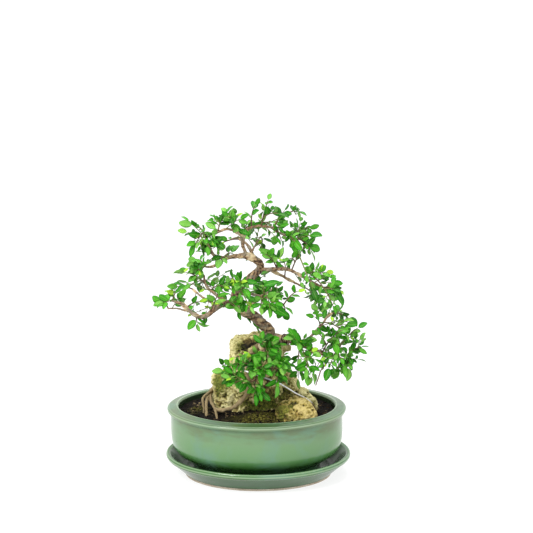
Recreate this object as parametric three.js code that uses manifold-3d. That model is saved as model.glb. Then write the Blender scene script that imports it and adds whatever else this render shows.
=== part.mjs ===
// A small zelkova bonsai grown over rock, in an oval glazed pot on its oval saucer.
// Millimetres, +Z up. The origin is the centre of the saucer's flat foot.
import * as THREE from 'three';
import { mergeVertices } from 'three/addons/utils/BufferGeometryUtils.js';
import Module from 'manifold-3d';

const wasm = await Module();
wasm.setup();

// Driving dimensions
const GAP = 0.3; // clearance between neighbouring solids
const OVAL = 21; // how much shorter the pot is in depth than in width, per side
const OVAL_FROM = 100; // radius from which the whole difference applies
const POT_X = -2; // the pot stands this far off the saucer's centre
const WALL_STEPS = 28; // facets round the pot and the saucer

const SAUCER = { foot: 98, rim: 123.5, height: 29.4, floor: 9, footBand: 5 };
const POT = {
  rim: 119.5, // half width over the rim
  wall: 114.8, // half width of the outer wall
  inner: 104, // half width of the inner wall
  top: 94.6, // height of the rim above the ground
  lip: 8.5, // height of the rolled lip
  ring: 85, // outer half width of the foot ring
  floor: 23, // height of the inner floor above the ground
  drain: 9, // radius of the drain hole
};
const BOWL = [[82, 23], [95, 33], [104, 46]]; // how the pot's floor rises into its wall, inside
const SOIL = { level: 86, mound: 5, rings: 3 };

const TWIG = { root: 1.05, tip: 0.65, steps: 2, fork: 0.3, leafyFrom: 34, sunk: 1.8 };
const LEAF = {
  length: 15.5,
  spread: 5,
  width: 0.54,
  thick: 1,
  fold: 0.12,
  droop: 0.12,
  rings: [0.34, 0.68], // shares of the length between which the blade is at its widest
};
const TWIG_SITES = [0.36, 0.58, 0.8]; // places along a twig where a leaf grows

const WOOD_STEP = { trunk: 11, branch: 14, root: 16 }; // length of one straight run of wood

// Woody parts: control points, then the radius at the start and at the end
const WOOD = {
  trunk: { at: [[10, 8, 174], [12, 8, 184], [14, 6, 195], [5, 3, 205], [-4, 0, 215], [-15, -4, 222],
    [-25, -6, 231], [-30, -4, 243], [-25, 2, 254], [-10, 8, 266], [-1, 10, 274], [3, 10, 280],
    [1, 8, 287], [-7, 6, 293], [-17, 5, 297]], from: 8.2, to: 4.4 },
  topLeft: { at: [[-17, 5, 297], [-31, 4, 296], [-43, 0, 295], [-51, -4, 297], [-58, -6, 300],
    [-62, -8, 308], [-65, -10, 317], [-67, -12, 326]], from: 3.4, to: 1.3 },
  topLeftLow: { at: [[-42, 0, 295], [-51, 6, 287], [-59, 12, 281], [-67, 16, 279], [-80, 20, 281]],
    from: 2, to: 1.1 },
  leader: { at: [[-16, 5, 297], [-18, 2, 306], [-21, 0, 315], [-21, -2, 328], [-12, -3, 335],
    [-1, -2, 338], [8, 0, 337], [17, 3, 335], [24, 6, 329], [32, 8, 325], [43, 8, 322], [52, 6, 319]],
    from: 2.1, to: 1.5 },
  leaderRight: { at: [[19, 4, 333], [27, 8, 345], [35, 12, 349], [42, 14, 353]], from: 1.7, to: 1.1 },
  leaderLeft: { at: [[-21, -2, 327], [-28, -8, 331], [-35, -12, 335], [-43, -14, 336], [-54, -18, 332]],
    from: 2, to: 1.3 },
  shoot: { at: [[-11, 6, 295], [-7, 8, 304], [-3, 12, 310], [2, 18, 318]], from: 1.5, to: 1 },
  upperRight: { at: [[2, 10, 278], [9, 8, 277], [18, 4, 279], [27, 0, 280], [40, -4, 280], [56, -8, 273],
    [67, -10, 267], [85, -12, 258]], from: 3, to: 1.4 },
  upperRightLow: { at: [[18, 4, 278], [25, 9, 272], [33, 14, 267], [44, 20, 259], [60, 28, 249]],
    from: 2, to: 1.3 },
  leftLow: { at: [[-26, -5, 234], [-33, -8, 236], [-42, -10, 236], [-51, -12, 233], [-59, -16, 228],
    [-67, -20, 222], [-75, -23, 221], [-83, -26, 225], [-91, -29, 232], [-98, -32, 240],
    [-104, -34, 243], [-112, -36, 246]], from: 4.8, to: 1.5 },
  leftThin: { at: [[-89, -28, 230], [-96, -24, 230], [-106, -18, 231], [-118, -14, 230]],
    from: 1.4, to: 1 },
  leftMid: { at: [[-41, -9, 235], [-48, -4, 240], [-57, 2, 246], [-65, 8, 251], [-70, 12, 258],
    [-72, 16, 268]], from: 2.6, to: 1.4 },
  centre: { at: [[-25, 2, 251], [-11, -10, 249], [5, -16, 247], [21, -18, 243], [31, -18, 238]],
    from: 2, to: 1.2 },
  rightLow: { at: [[12, 8, 183], [20, 7, 185], [30, 2, 185], [44, -4, 184], [58, -8, 181], [67, -10, 176],
    [74, -10, 171], [83, -8, 168], [94, -4, 164], [103, 0, 160], [114, 4, 155]], from: 6.2, to: 1.8 },
  rightUp: { at: [[58, -8, 181], [67, -2, 186], [76, 6, 194], [85, 12, 202], [91, 16, 210],
    [98, 20, 215]], from: 2.2, to: 1.2 },
  bareTwig: { at: [[92, -4, 165], [91, -8, 155], [83, -12, 145], [80, -15, 137], [76, -18, 126]],
    from: 1.1, to: 0.8 },
  frontLow: { at: [[8, 6, 181], [3, -8, 180], [5, -20, 178], [9, -28, 174], [13, -34, 170],
    [17, -38, 166], [18, -42, 160], [16, -46, 154], [10, -50, 151], [6, -52, 148], [-3, -56, 145],
    [-12, -58, 143]], from: 3.2, to: 1.3 },
  backHigh: { at: [[-7, 6, 293], [-10, 24, 300], [-16, 46, 304], [-26, 66, 306]], from: 2.6, to: 1.3 },
  backLow: { at: [[-15, -4, 222], [-8, 22, 226], [4, 48, 231], [20, 70, 236]], from: 3.2, to: 1.4 },
  backMid: { at: [[-20, 1, 310], [-18, 20, 319], [-12, 38, 326]], from: 1.7, to: 1.1 },
  backLeft: { at: [[-50, -12, 233], [-60, 8, 232], [-74, 30, 234], [-88, 52, 240]], from: 2.4, to: 1.3 },
};

// Roots that run down over the rock, each into the soil at its end
const ROOTS = {
  rootLong: { at: [[8, 4, 180], [-4, -13, 176], [-11, -22, 166], [-14, -26, 152], [-13, -27, 136],
    [-14, -28, 121], [-22, -33, 110], [-34, -36, 101], [-48, -33, 97], [-58, -27, 97]],
    from: 3.6, to: 2.2 },
  rootLeft: { at: [[8, 8, 178], [-4, 28, 177], [-18, 40, 168], [-27, 42, 154], [-34, 40, 140],
    [-46, 36, 126], [-57, 27, 114], [-65, 12, 107], [-68, -4, 102], [-69, -16, 97], [-68, -27, 91],
    [-68, -35, 79]], from: 3.6, to: 1.8 },
  rootArch: { at: [[-60, 16, 112], [-67, 4, 109], [-72, -4, 107], [-74, -9, 103], [-73, -12, 97],
    [-72, -14, 91], [-74, -15, 78]], from: 2.2, to: 1.5 },
  rootThree: { at: [[-64, 6, 106], [-63, -8, 101], [-59, -20, 98], [-56, -31, 94], [-52, -46, 79]],
    from: 2.2, to: 1.6 },
  rootBack: { at: [[14, 10, 178], [17, 28, 175], [18, 36, 163], [15, 35, 146], [13, 34, 130],
    [10, 36, 112], [4, 38, 96], [-2, 42, 79]], from: 3.8, to: 1.8 },
};

// Stones as overlapping rounded lumps: centre, then half sizes
const STONES = {
  rock_main: [
    { at: [-11, 13, 157], size: [29, 26, 29], detail: 2 },
    { at: [8, 12, 162], size: [24, 24, 27], detail: 1 },
    { at: [-37, 10, 106], size: [26, 24, 33], detail: 1 },
    { at: [29, 22, 104], size: [25, 24, 38], detail: 1 },
    { at: [-2, 4, 108], size: [36, 27, 42], detail: 1 },
    { at: [33, 9, 172], size: [8, 8, 6], detail: 1 },
  ],
  rock_front: [
    { at: [47, -38, 86], size: [25, 18, 23], detail: 1 },
    { at: [57, -35, 91], size: [18, 15, 22], detail: 1 },
  ],
  rock_slab: [
    { at: [60, 12, 98], size: [8, 13, 15], detail: 1 },
    { at: [69, 5, 91], size: [9, 12, 14], detail: 1 },
  ],
};
const STONE = { bury: 79, lump: 0.09, blocky: 0.7 };

// Leafy sprays: the woody part that bears it, how far along it, and where its twigs end
const SPRAYS = [
  ['topLeft', 1, [[-93, -16, 350], [-87, -30, 311], [-62, -38, 310]]],
  ['topLeft', 0.86, [[-59, -34, 328], [-50, 12, 306]]],
  ['topLeft', 0.37, [[-52, -28, 298], [-29, 36, 293]]],
  ['topLeftLow', 0.8, [[-89, 34, 292], [-84, -8, 258]]],
  ['leaderLeft', 0.86, [[-68, -26, 337], [-42, 4, 354]]],
  ['leaderLeft', 0.4, [[-29, -18, 367], [-43, -44, 363]]],
  ['leader', 0.3, [[-1, 12, 343]]],
  ['leader', 0.42, [[-2, -4, 377]]],
  ['leader', 0.53, [[16, 4, 382], [35, -18, 361]]],
  ['leader', 0.73, [[30, -28, 344], [33, 26, 306]]],
  ['leader', 0.85, [[52, -30, 321]]],
  ['leader', 0.93, [[76, 12, 339], [56, 46, 315]]],
  ['leader', 1, [[77, -4, 299]]],
  ['leaderRight', 1, [[61, 22, 352]]],
  ['backMid', 1, [[4, 64, 323], [34, 52, 333]]],
  ['shoot', 1, [[9, 36, 303]]],
  ['upperRight', 0.27, [[4, -24, 312]]],
  ['upperRight', 0.49, [[69, -4, 323], [36, -28, 304], [75, -34, 251]]],
  ['upperRight', 0.66, [[94, -16, 280]]],
  ['upperRight', 0.79, [[98, 0, 281], [103, -40, 232]]],
  ['upperRight', 1, [[113, -16, 247]]],
  ['upperRightLow', 0.42, [[33, 56, 285]]],
  ['upperRightLow', 1, [[87, 32, 218], [106, 56, 227]]],
  ['leftMid', 1, [[-89, 19, 287]]],
  ['leftMid', 0.77, [[-105, 4, 280]]],
  ['leftMid', 0.56, [[-37, -18, 263]]],
  ['leftLow', 0.95, [[-132, -42, 244], [-105, -56, 270]]],
  ['leftThin', 1, [[-133, -4, 247]]],
  ['leftLow', 0.72, [[-112, -14, 248], [-66, -4, 240]]],
  ['leftLow', 0.6, [[-79, -34, 204]]],
  ['leftLow', 0.42, [[-49, -48, 266]]],
  ['leftLow', 0.17, [[-25, -46, 240]]],
  ['backLeft', 1, [[-123, 66, 240], [-55, 84, 248]]],
  ['trunk', 0.62, [[-41, -34, 279], [-16, -44, 262], [-5, -46, 232]]],
  ['centre', 0.6, [[12, -6, 264], [2, -42, 232], [18, -46, 231]]],
  ['centre', 1, [[41, -16, 219], [59, -28, 264]]],
  ['backHigh', 1, [[-71, 88, 285], [2, 90, 300]]],
  ['backLow', 1, [[33, 88, 234], [-15, 94, 225]]],
  ['rightUp', 1, [[131, 18, 206], [106, 44, 209]]],
  ['rightUp', 0.6, [[70, -8, 224], [121, -16, 195]]],
  ['rightLow', 0.44, [[50, -38, 191], [52, -34, 129], [74, -40, 139]]],
  ['rightLow', 0.7, [[117, -26, 212], [76, -38, 207], [96, -32, 187]]],
  ['rightLow', 0.86, [[139, 0, 209], [95, 38, 191], [88, -38, 147]]],
  ['rightLow', 1, [[145, 4, 180], [117, -14, 139]]],
  ['frontLow', 0.4, [[2, -44, 207], [25, -46, 187], [17, -60, 169]]],
  ['frontLow', 0.48, [[-40, -54, 175], [-31, -68, 157]]],
  ['frontLow', 0.58, [[40, -56, 169], [26, -68, 132], [31, -72, 163]]],
  ['frontLow', 0.68, [[-42, -70, 172], [1, -78, 155]]],
  ['frontLow', 0.9, [[-4, -74, 121], [-42, -74, 146]]],
  ['frontLow', 1, [[-55, -64, 165]]],
];

// Bright wire stretched from the rock down into the soil, and a wire wound round a branch
const GUY_WIRE = { at: [[-30, 6, 147], [-28, -14, 150], [-18, -34, 151], [-2, -40, 147], [10, -38, 142],
  [29, -34, 133], [50, -28, 118], [64, -20, 108], [74, -12, 96], [79, -8, 76]], radius: 1.1 };
const COIL = { on: 'rightLow', middle: 0.24, turns: 3.5, pitch: 2.6, radius: 0.8, steps: 7 };

const COLOURS = {
  glaze: '#829f7f', soil: '#3d3429', rock: '#948c52', bark: '#8e7c61', leaf: '#4f9a2c',
  guy: '#c9c9c6', coil: '#5a4a3c',
};

const UP = new THREE.Vector3(0, 0, 1);
const bonsai = new THREE.Group();
bonsai.name = 'bonsai';

// A repeatable random number from 0 to 1 for one feature of one leaf or twig
function chance(spray, place, channel) {
  let h = Math.imul(spray + 1, 73856093) ^ Math.imul(place + 1, 19349663);
  h ^= Math.imul(channel + 1, 83492791);
  h = Math.imul(h ^ (h >>> 15), 2246822519);
  h = Math.imul(h ^ (h >>> 13), 3266489917);
  return ((h ^ (h >>> 16)) >>> 0) / 4294967296;
}

// Turn a closed geometry into a solid that can be joined and cut
function solidOf(geometry) {
  const bare = geometry.clone();
  bare.deleteAttribute('normal');
  bare.deleteAttribute('uv');
  const merged = mergeVertices(bare, 1e-4);
  return new wasm.Manifold(new wasm.Mesh({
    numProp: 3,
    vertProperties: new Float32Array(merged.attributes.position.array),
    triVerts: new Uint32Array(merged.index.array),
  }));
}

// Add a solid to the model as a named mesh in its own material
function addPiece(name, solid, colour, roughness, metalness = 0) {
  const data = solid.getMesh();
  const geometry = new THREE.BufferGeometry();
  geometry.setAttribute('position', new THREE.BufferAttribute(data.vertProperties, 3));
  geometry.setIndex(new THREE.BufferAttribute(data.triVerts, 1));
  geometry.computeVertexNormals();
  const material = new THREE.MeshStandardMaterial({ color: colour, roughness, metalness });
  const mesh = new THREE.Mesh(geometry, material);
  mesh.name = name;
  bonsai.add(mesh);
}

// The biggest body of a solid that a cut may have left in several
function largest(solid) {
  const bodies = solid.decompose();
  return bodies.reduce((best, body) => (body.volume() > best.volume() ? body : best));
}

function union(solids) {
  return wasm.Manifold.union(solids);
}

function vector(point) {
  return new THREE.Vector3(...point);
}

function curveThrough(points) {
  return new THREE.CatmullRomCurve3(points.map(vector), false, 'catmullrom', 0.5);
}

// A closed cylinder bent along a curve, its radius running evenly from one end to the other
function taperedTube(curve, from, to, sides, steps) {
  const geometry = new THREE.CylinderGeometry(1, 1, 1, sides, steps);
  const frames = curve.computeFrenetFrames(steps, false);
  const position = geometry.attributes.position;
  const corner = new THREE.Vector3();
  for (let i = 0; i < position.count; i += 1) {
    const along = position.getY(i) + 0.5;
    const step = Math.round(along * steps);
    const radius = from + (to - from) * along;
    curve.getPointAt(along, corner);
    corner.addScaledVector(frames.normals[step], position.getZ(i) * radius);
    corner.addScaledVector(frames.binormals[step], position.getX(i) * radius);
    position.setXYZ(i, corner.x, corner.y, corner.z);
  }
  return solidOf(geometry);
}

// Half depth of the oval at a given half width
function ovalDepth(halfWidth) {
  return halfWidth - OVAL * Math.min(1, halfWidth / OVAL_FROM) ** 2;
}

// Turn a round lathe shape into the oval one
function ovalLathe(profile) {
  const points = profile.map(([r, z]) => new THREE.Vector2(r, z));
  const geometry = new THREE.LatheGeometry(points, WALL_STEPS);
  const position = geometry.attributes.position;
  for (let i = 0; i < position.count; i += 1) {
    const [x, z, y] = [position.getX(i), position.getY(i), -position.getZ(i)];
    const r = Math.hypot(x, y);
    const squeeze = r > 0.01 ? ovalDepth(r) / r : 1;
    position.setXYZ(i, x, y * squeeze, z);
  }
  return geometry;
}

function saucer() {
  const { foot, rim, height, floor, footBand } = SAUCER;
  return solidOf(ovalLathe([
    [0, 0], [foot, 0], [foot + 0.5, footBand], [foot + 10, 11.5], [rim - 3, height - 6.5],
    [rim, height - 3.2], [rim - 1, height - 0.4], [rim - 3.6, height - 0.6], [foot + 9, floor + 6],
    [foot + 1, floor], [0, floor],
  ]));
}

function pot() {
  const base = SAUCER.floor + GAP;
  const { rim, wall, inner, top, lip, ring, floor, drain } = POT;
  const profile = [
    [drain, floor - 7], [ring - 9, floor - 7], [ring - 8, base], [ring, base], [ring + 1, floor - 4],
    [103.6, 28.9], [111.8, 39], [wall, 52], [wall, top - lip], [rim, top - lip + 1.5],
    [rim, top - 4], [rim - 1.8, top - 1.8], [inner + 4, top], [inner, top - 2],
    ...BOWL.toReversed(), [drain, floor], [drain, floor - 7],
  ];
  return solidOf(ovalLathe(profile)).translate([POT_X, 0, 0]);
}

// Height of the soil: level by the wall, mounded towards the rock, with a crumbly surface
function soilHeight(x, y) {
  const mound = SOIL.mound * Math.exp(-((x / 62) ** 2) - ((y / 44) ** 2));
  const crumbs = Math.sin(x / 5.3 + 1) * Math.cos(y / 4.7) + 0.6 * Math.sin((x + y) / 9);
  return SOIL.level + mound + 0.7 * crumbs;
}

function soil() {
  const edge = POT.inner - GAP;
  const rim = Array.from({ length: SOIL.rings }, (_, i) => [edge * (1 - i / SOIL.rings), SOIL.level]);
  const bed = BOWL.map(([r, z]) => [r - GAP, z + GAP]);
  const geometry = ovalLathe([[0, POT.floor + GAP], ...bed, ...rim, [0, SOIL.level]]);
  const position = geometry.attributes.position;
  for (let i = 0; i < position.count; i += 1) {
    if (position.getZ(i) > SOIL.level - 1) {
      position.setZ(i, soilHeight(position.getX(i), position.getY(i)));
    }
  }
  return solidOf(geometry).translate([POT_X, 0, 0]);
}

// One lump of stone: a faceted ball stretched to size, with dents and knobs by a formula
function lump({ at, size, detail }, index, grow) {
  const ball = new THREE.IcosahedronGeometry(1, detail);
  const position = ball.attributes.position;
  const d = new THREE.Vector3();
  for (let i = 0; i < position.count; i += 1) {
    d.fromBufferAttribute(position, i);
    const wave = Math.sin(3.1 * d.x + 2.3 * index) * Math.cos(2.7 * d.y - index)
      + Math.sin(4.3 * d.z + d.x * 2);
    const square = (d.x ** 4 + d.y ** 4 + d.z ** 4) ** 0.25;
    const swell = (0.96 + STONE.lump * wave) / square ** STONE.blocky;
    const z = at[2] + d.z * (size[2] * swell + grow);
    position.setXYZ(
      i,
      at[0] + d.x * (size[0] * swell + grow),
      at[1] + d.y * (size[1] * swell + grow),
      Math.max(z, STONE.bury - grow),
    );
  }
  return solidOf(ball);
}

function stone(name, grow = 0) {
  return union(STONES[name].map((part, index) => lump(part, index, grow)));
}

// Steps along a woody part, so that each is a little longer than the part is thick
function stepsFor(curve, spacing) {
  return Math.max(3, Math.round(curve.getLength() / spacing));
}

function woodSolids(grow) {
  const solids = [];
  for (const { at, from, to } of Object.values(WOOD)) {
    const curve = curveThrough(at);
    const sides = from > 6 ? 7 : from > 2.5 ? 5 : 4;
    const steps = stepsFor(curve, from > 6 ? WOOD_STEP.trunk : WOOD_STEP.branch);
    solids.push(taperedTube(curve, from + grow, to + grow, sides, steps));
  }
  for (const { at, from, to } of Object.values(ROOTS)) {
    const curve = curveThrough(at);
    solids.push(taperedTube(curve, from + grow, to + grow, 5, stepsFor(curve, WOOD_STEP.root)));
  }
  return union(solids);
}

function guyWire(grow) {
  const curve = curveThrough(GUY_WIRE.at);
  const { radius } = GUY_WIRE;
  return taperedTube(curve, radius + grow, radius + grow, 5, 12);
}

// Wire wound in a helix round its branch, just clear of the bark
function coilWire() {
  const branch = WOOD[COIL.on];
  const curve = curveThrough(branch.at);
  const length = curve.getLength();
  const bark = branch.from + (branch.to - branch.from) * COIL.middle;
  const away = bark + COIL.radius + 0.6;
  const middle = curve.getPointAt(COIL.middle);
  const axis = curve.getTangentAt(COIL.middle);
  const side = new THREE.Vector3().crossVectors(axis, UP).normalize();
  const up = new THREE.Vector3().crossVectors(side, axis);
  const points = [];
  const count = Math.round(COIL.turns * COIL.steps);
  for (let i = 0; i <= count; i += 1) {
    const turn = (i / COIL.steps) * 2 * Math.PI;
    const along = (i / count - 0.5) * COIL.turns * COIL.pitch;
    points.push(curve.getPointAt(COIL.middle + along / length)
      .addScaledVector(side, Math.cos(turn) * away)
      .addScaledVector(up, Math.sin(turn) * away)
      .toArray());
  }
  return taperedTube(curveThrough(points), COIL.radius, COIL.radius, 4, count);
}

// A leaf: a pointed oval blade with a keel under its middle, drooping to the tip, its root
// at the origin, running along +Y with its upper face to +Z
function leafGeometry(length, thick) {
  const half = (length * LEAF.width) / 2;
  const positions = [0, 0, 0];
  for (const along of LEAF.rings) {
    const height = half * LEAF.fold - LEAF.droop * length * along ** 2;
    positions.push(half, along * length, height, 0, along * length, height - thick);
    positions.push(-half, along * length, height);
  }
  positions.push(0, length, -LEAF.droop * length);
  const index = [];
  for (let i = 0; i < 3; i += 1) {
    const next = (i + 1) % 3;
    index.push(0, 1 + next, 1 + i, 7, 4 + i, 4 + next);
    index.push(1 + i, 4 + next, 4 + i, 1 + i, 1 + next, 4 + next);
  }
  const geometry = new THREE.BufferGeometry();
  geometry.setAttribute('position', new THREE.BufferAttribute(new Float32Array(positions), 3));
  geometry.setIndex(index);
  return geometry;
}

// A leaf at its place: its root point, the way it points and the way its face looks
function leafSolid({ root, way, face, length }, thick) {
  const side = new THREE.Vector3().crossVectors(way, face).normalize();
  const normal = new THREE.Vector3().crossVectors(side, way);
  const matrix = new THREE.Matrix4().makeBasis(side, way, normal).setPosition(root);
  return solidOf(leafGeometry(length, thick).applyMatrix4(matrix));
}

// Direction of something that grows off a twig to its left or right, in a plane that is
// rolled round the twig
function sideWay(tangent, sign, roll, lift) {
  const level = new THREE.Vector3().crossVectors(tangent, UP);
  if (level.length() < 0.2) {
    level.set(1, 0, 0);
  }
  level.normalize();
  const over = new THREE.Vector3().crossVectors(level, tangent).normalize();
  return tangent.clone().multiplyScalar(0.62)
    .addScaledVector(level, 0.78 * sign * Math.cos(roll) - lift * Math.sin(roll))
    .addScaledVector(over, 0.78 * sign * Math.sin(roll) + lift * Math.cos(roll))
    .normalize();
}

// A leaf's face looks up, outward and to the tree's front, a little at random
function leafFace(root, way, spray, place) {
  const face = new THREE.Vector3(root.x, root.y, 0).normalize().multiplyScalar(0.3);
  face.z = 0.45;
  face.x += 1.5 * (chance(spray, place, 3) - 0.5);
  face.y += 1.5 * (chance(spray, place, 4) - 0.5) - 0.6;
  face.z += 1.1 * (chance(spray, place, 5) - 0.5);
  face.addScaledVector(way, -face.dot(way));
  return face.lengthSq() < 0.01 ? sideWay(way, 1, 0, 0) : face.normalize();
}

function makeLeaf(root, way, spray, place) {
  const length = LEAF.length + LEAF.spread * (chance(spray, place, 6) - 0.5) * 2;
  return { root, way, face: leafFace(root, way, spray, place), length, spray, place };
}

// A point part way along a twig, on the straight run between its two nearest steps
function pointOnTwig(curve, share) {
  const scaled = share * TWIG.steps;
  const step = Math.min(TWIG.steps - 1, Math.floor(scaled));
  const [low, high] = [step, step + 1].map((k) => curve.getPointAt(k / TWIG.steps));
  return low.lerp(high, scaled - step);
}

// One arching twig that ends a leaf's length short of the spray's tip, with leaves to its
// left and right in turn and one at its end
function growTwig(start, tip, spray, order) {
  const reach = start.distanceTo(tip);
  const end = tip.clone().lerp(start, (LEAF.length * 0.7) / reach);
  const knee = start.clone().lerp(end, 0.5);
  knee.z += reach * 0.16;
  knee.x += reach * 0.2 * (chance(spray, order, 20) - 0.5);
  knee.y += reach * 0.2 * (chance(spray, order, 21) - 0.5);
  const curve = new THREE.QuadraticBezierCurve3(start, knee, end);
  const roll = 2.4 * (chance(spray, order, 22) - 0.5);
  const leaves = [];
  TWIG_SITES.forEach((site, j) => {
    if (j === 0 && reach < TWIG.leafyFrom) {
      return;
    }
    const place = order * 40 + j;
    const sign = (j + order) % 2 ? 1 : -1;
    const lift = 0.7 * (chance(spray, place, 1) - 0.35);
    const way = sideWay(curve.getTangentAt(site), sign, roll, lift);
    leaves.push(makeLeaf(pointOnTwig(curve, site), way, spray, place));
  });
  const root = end.clone().addScaledVector(curve.getTangentAt(1), -TWIG.sunk);
  leaves.push(makeLeaf(root, curve.getTangentAt(1), spray, order * 40 + 10));
  return { curve, leaves };
}

function growSpray([branch, share, tips], index) {
  const start = curveThrough(WOOD[branch].at).getPointAt(share);
  const first = growTwig(start, vector(tips[0]), index, 0);
  const twigs = [first];
  tips.slice(1).forEach((tip, i) => {
    const fork = pointOnTwig(first.curve, TWIG.fork * (i + 1));
    twigs.push(growTwig(fork, vector(tip), index, i + 1));
  });
  return { branch, stems: twigs.map((twig) => twig.curve), leaves: twigs.flatMap((twig) => twig.leaves) };
}

function stemSolid(curve, grow = 0) {
  return taperedTube(curve, TWIG.root + grow, TWIG.tip + grow, 3, TWIG.steps);
}

function boxOf(solid) {
  const { min, max } = solid.boundingBox();
  return new THREE.Box3(vector(min), vector(max));
}

function touches(entry, others) {
  return others.some((other) => entry.box.intersectsBox(other.box)
    && !entry.solid.intersect(other.solid).isEmpty());
}

function withBox(solid, owner) {
  return { solid, box: boxOf(solid), owner };
}

// The leaf as it grew, or turned clear of what it would cross, or none
function clearLeaf(leaf, obstacles) {
  for (const turn of [0, 0.5, -0.5, 1, -1]) {
    const way = leaf.way.clone().applyAxisAngle(UP, turn);
    way.z += Math.abs(turn) * 0.3;
    way.normalize();
    const turned = { ...leaf, way, face: leafFace(leaf.root, way, leaf.spray, leaf.place) };
    if (!touches(withBox(leafSolid(turned, LEAF.thick * 2), leaf.spray), obstacles)) {
      return leafSolid(turned, LEAF.thick);
    }
  }
  return null;
}

// The woody frame, the stones cut to let it through, and the ground they stand in
const wood = woodSolids(0);
const woodGrown = woodSolids(GAP + 0.05);
const wireGrown = guyWire(GAP + 0.05);
const rockMain = largest(stone('rock_main').subtract(woodGrown).subtract(wireGrown));
const rockMainGrown = stone('rock_main', GAP + 0.1);
const rockFront = largest(stone('rock_front').subtract(rockMainGrown).subtract(wireGrown));
const rockFrontGrown = stone('rock_front', GAP + 0.1);
const rockSlab = largest(stone('rock_slab').subtract(rockMainGrown).subtract(rockFrontGrown)
  .subtract(wireGrown).subtract(woodGrown));
const stonesGrown = union([rockMainGrown, rockFrontGrown, stone('rock_slab', GAP + 0.1)]);
const ground = largest(soil().subtract(stonesGrown).subtract(woodGrown).subtract(wireGrown));

addPiece('saucer', saucer(), COLOURS.glaze, 0.2);
addPiece('pot', pot(), COLOURS.glaze, 0.2);
addPiece('soil', ground, COLOURS.soil, 0.95);
addPiece('rock_main', rockMain, COLOURS.rock, 0.95);
addPiece('rock_front', rockFront, COLOURS.rock, 0.95);
addPiece('rock_slab', rockSlab, COLOURS.rock, 0.95);
addPiece('tree_wood', wood, COLOURS.bark, 0.85);
addPiece('guy_wire', guyWire(0), COLOURS.guy, 0.35, 0.9);
addPiece('branch_wire', coilWire(), COLOURS.coil, 0.4, 0.8);

// Every spray's twigs first, then its leaves, turned clear of all that stands near
const fixed = [
  withBox(woodGrown, -1), withBox(stonesGrown, -1), withBox(soil(), -1), withBox(wireGrown, -1),
];
const sprays = SPRAYS.map(growSpray);
const stems = sprays.flatMap((spray, owner) => (
  spray.stems.map((curve) => withBox(stemSolid(curve, GAP), owner))
));
const placed = [];
const counts = {};
sprays.forEach((spray, owner) => {
  const others = [...fixed, ...stems.filter((stem) => stem.owner !== owner),
    ...placed.filter((leaf) => leaf.owner !== owner)];
  const blades = spray.leaves.map((leaf) => clearLeaf(leaf, others)).filter(Boolean);
  placed.push(...blades.map((blade) => withBox(blade, owner)));
  const joined = union([...spray.stems.map((curve) => stemSolid(curve)), ...blades]);
  counts[spray.branch] = (counts[spray.branch] ?? 0) + 1;
  const name = `spray_${spray.branch}_${counts[spray.branch]}`;
  addPiece(name, largest(joined.subtract(woodGrown).simplify(0.32)), COLOURS.leaf, 0.55);
});

export default bonsai;
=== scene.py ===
"""A zelkova bonsai whose roots clasp a rock, in an oval glazed pot on its saucer.

Sizes are millimetres until a mesh is made. The row frame's axes hold throughout: +X runs to the
right, -Y towards the viewer and +Z up, and the origin lies under the middle of the saucer.
"""

import logging
import math
from collections.abc import Callable
from dataclasses import dataclass, field
from enum import Enum
from itertools import product

import bmesh
import bpy
import numpy as np
from mathutils import Matrix, Vector


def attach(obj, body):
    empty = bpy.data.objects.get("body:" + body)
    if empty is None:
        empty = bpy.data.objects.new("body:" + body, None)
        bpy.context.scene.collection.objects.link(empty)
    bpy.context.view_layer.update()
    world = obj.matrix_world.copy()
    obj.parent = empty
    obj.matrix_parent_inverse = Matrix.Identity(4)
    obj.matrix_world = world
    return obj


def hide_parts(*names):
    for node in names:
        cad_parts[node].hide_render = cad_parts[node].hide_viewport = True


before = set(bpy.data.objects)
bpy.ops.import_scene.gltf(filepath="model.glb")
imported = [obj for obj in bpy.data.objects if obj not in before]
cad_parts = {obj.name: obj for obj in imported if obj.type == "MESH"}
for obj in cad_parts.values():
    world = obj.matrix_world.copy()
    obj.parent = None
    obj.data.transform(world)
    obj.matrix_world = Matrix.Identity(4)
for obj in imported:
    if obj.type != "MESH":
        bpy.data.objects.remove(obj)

LOG = logging.getLogger("bonsai")
MM = 0.001
FULL_TURN = 2 * math.pi
WORD = 0xFFFFFFFF  # the random numbers are hashed in 32 bits
UP = np.array([0.0, 0.0, 1.0])
FRONT = np.array([0.0, -0.85, 0.53])  # where the large leaves face
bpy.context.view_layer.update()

OVAL = 21.0  # how much shorter the pot is in depth than in width, per side
OVAL_FROM = 100.0  # half width from which the whole difference applies
POT_X = -2.0  # the pot stands this far off the saucer's centre
STEPS = 24  # points that draw one stretch of a smooth line

Array = np.ndarray
Material = bpy.types.Material
Object = bpy.types.Object
Point = tuple[float, float, float]
Socket = bpy.types.NodeSocket


def linear(code: str) -> tuple[float, float, float, float]:
    """Linear red, green and blue with an alpha of 1, from an sRGB colour such as "#829f7f"."""
    parts = [int(code[i:i + 2], 16) / 255 for i in (1, 3, 5)]
    return *[p / 12.92 if p <= 0.04045 else ((p + 0.055) / 1.055) ** 2.4 for p in parts], 1.0


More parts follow.
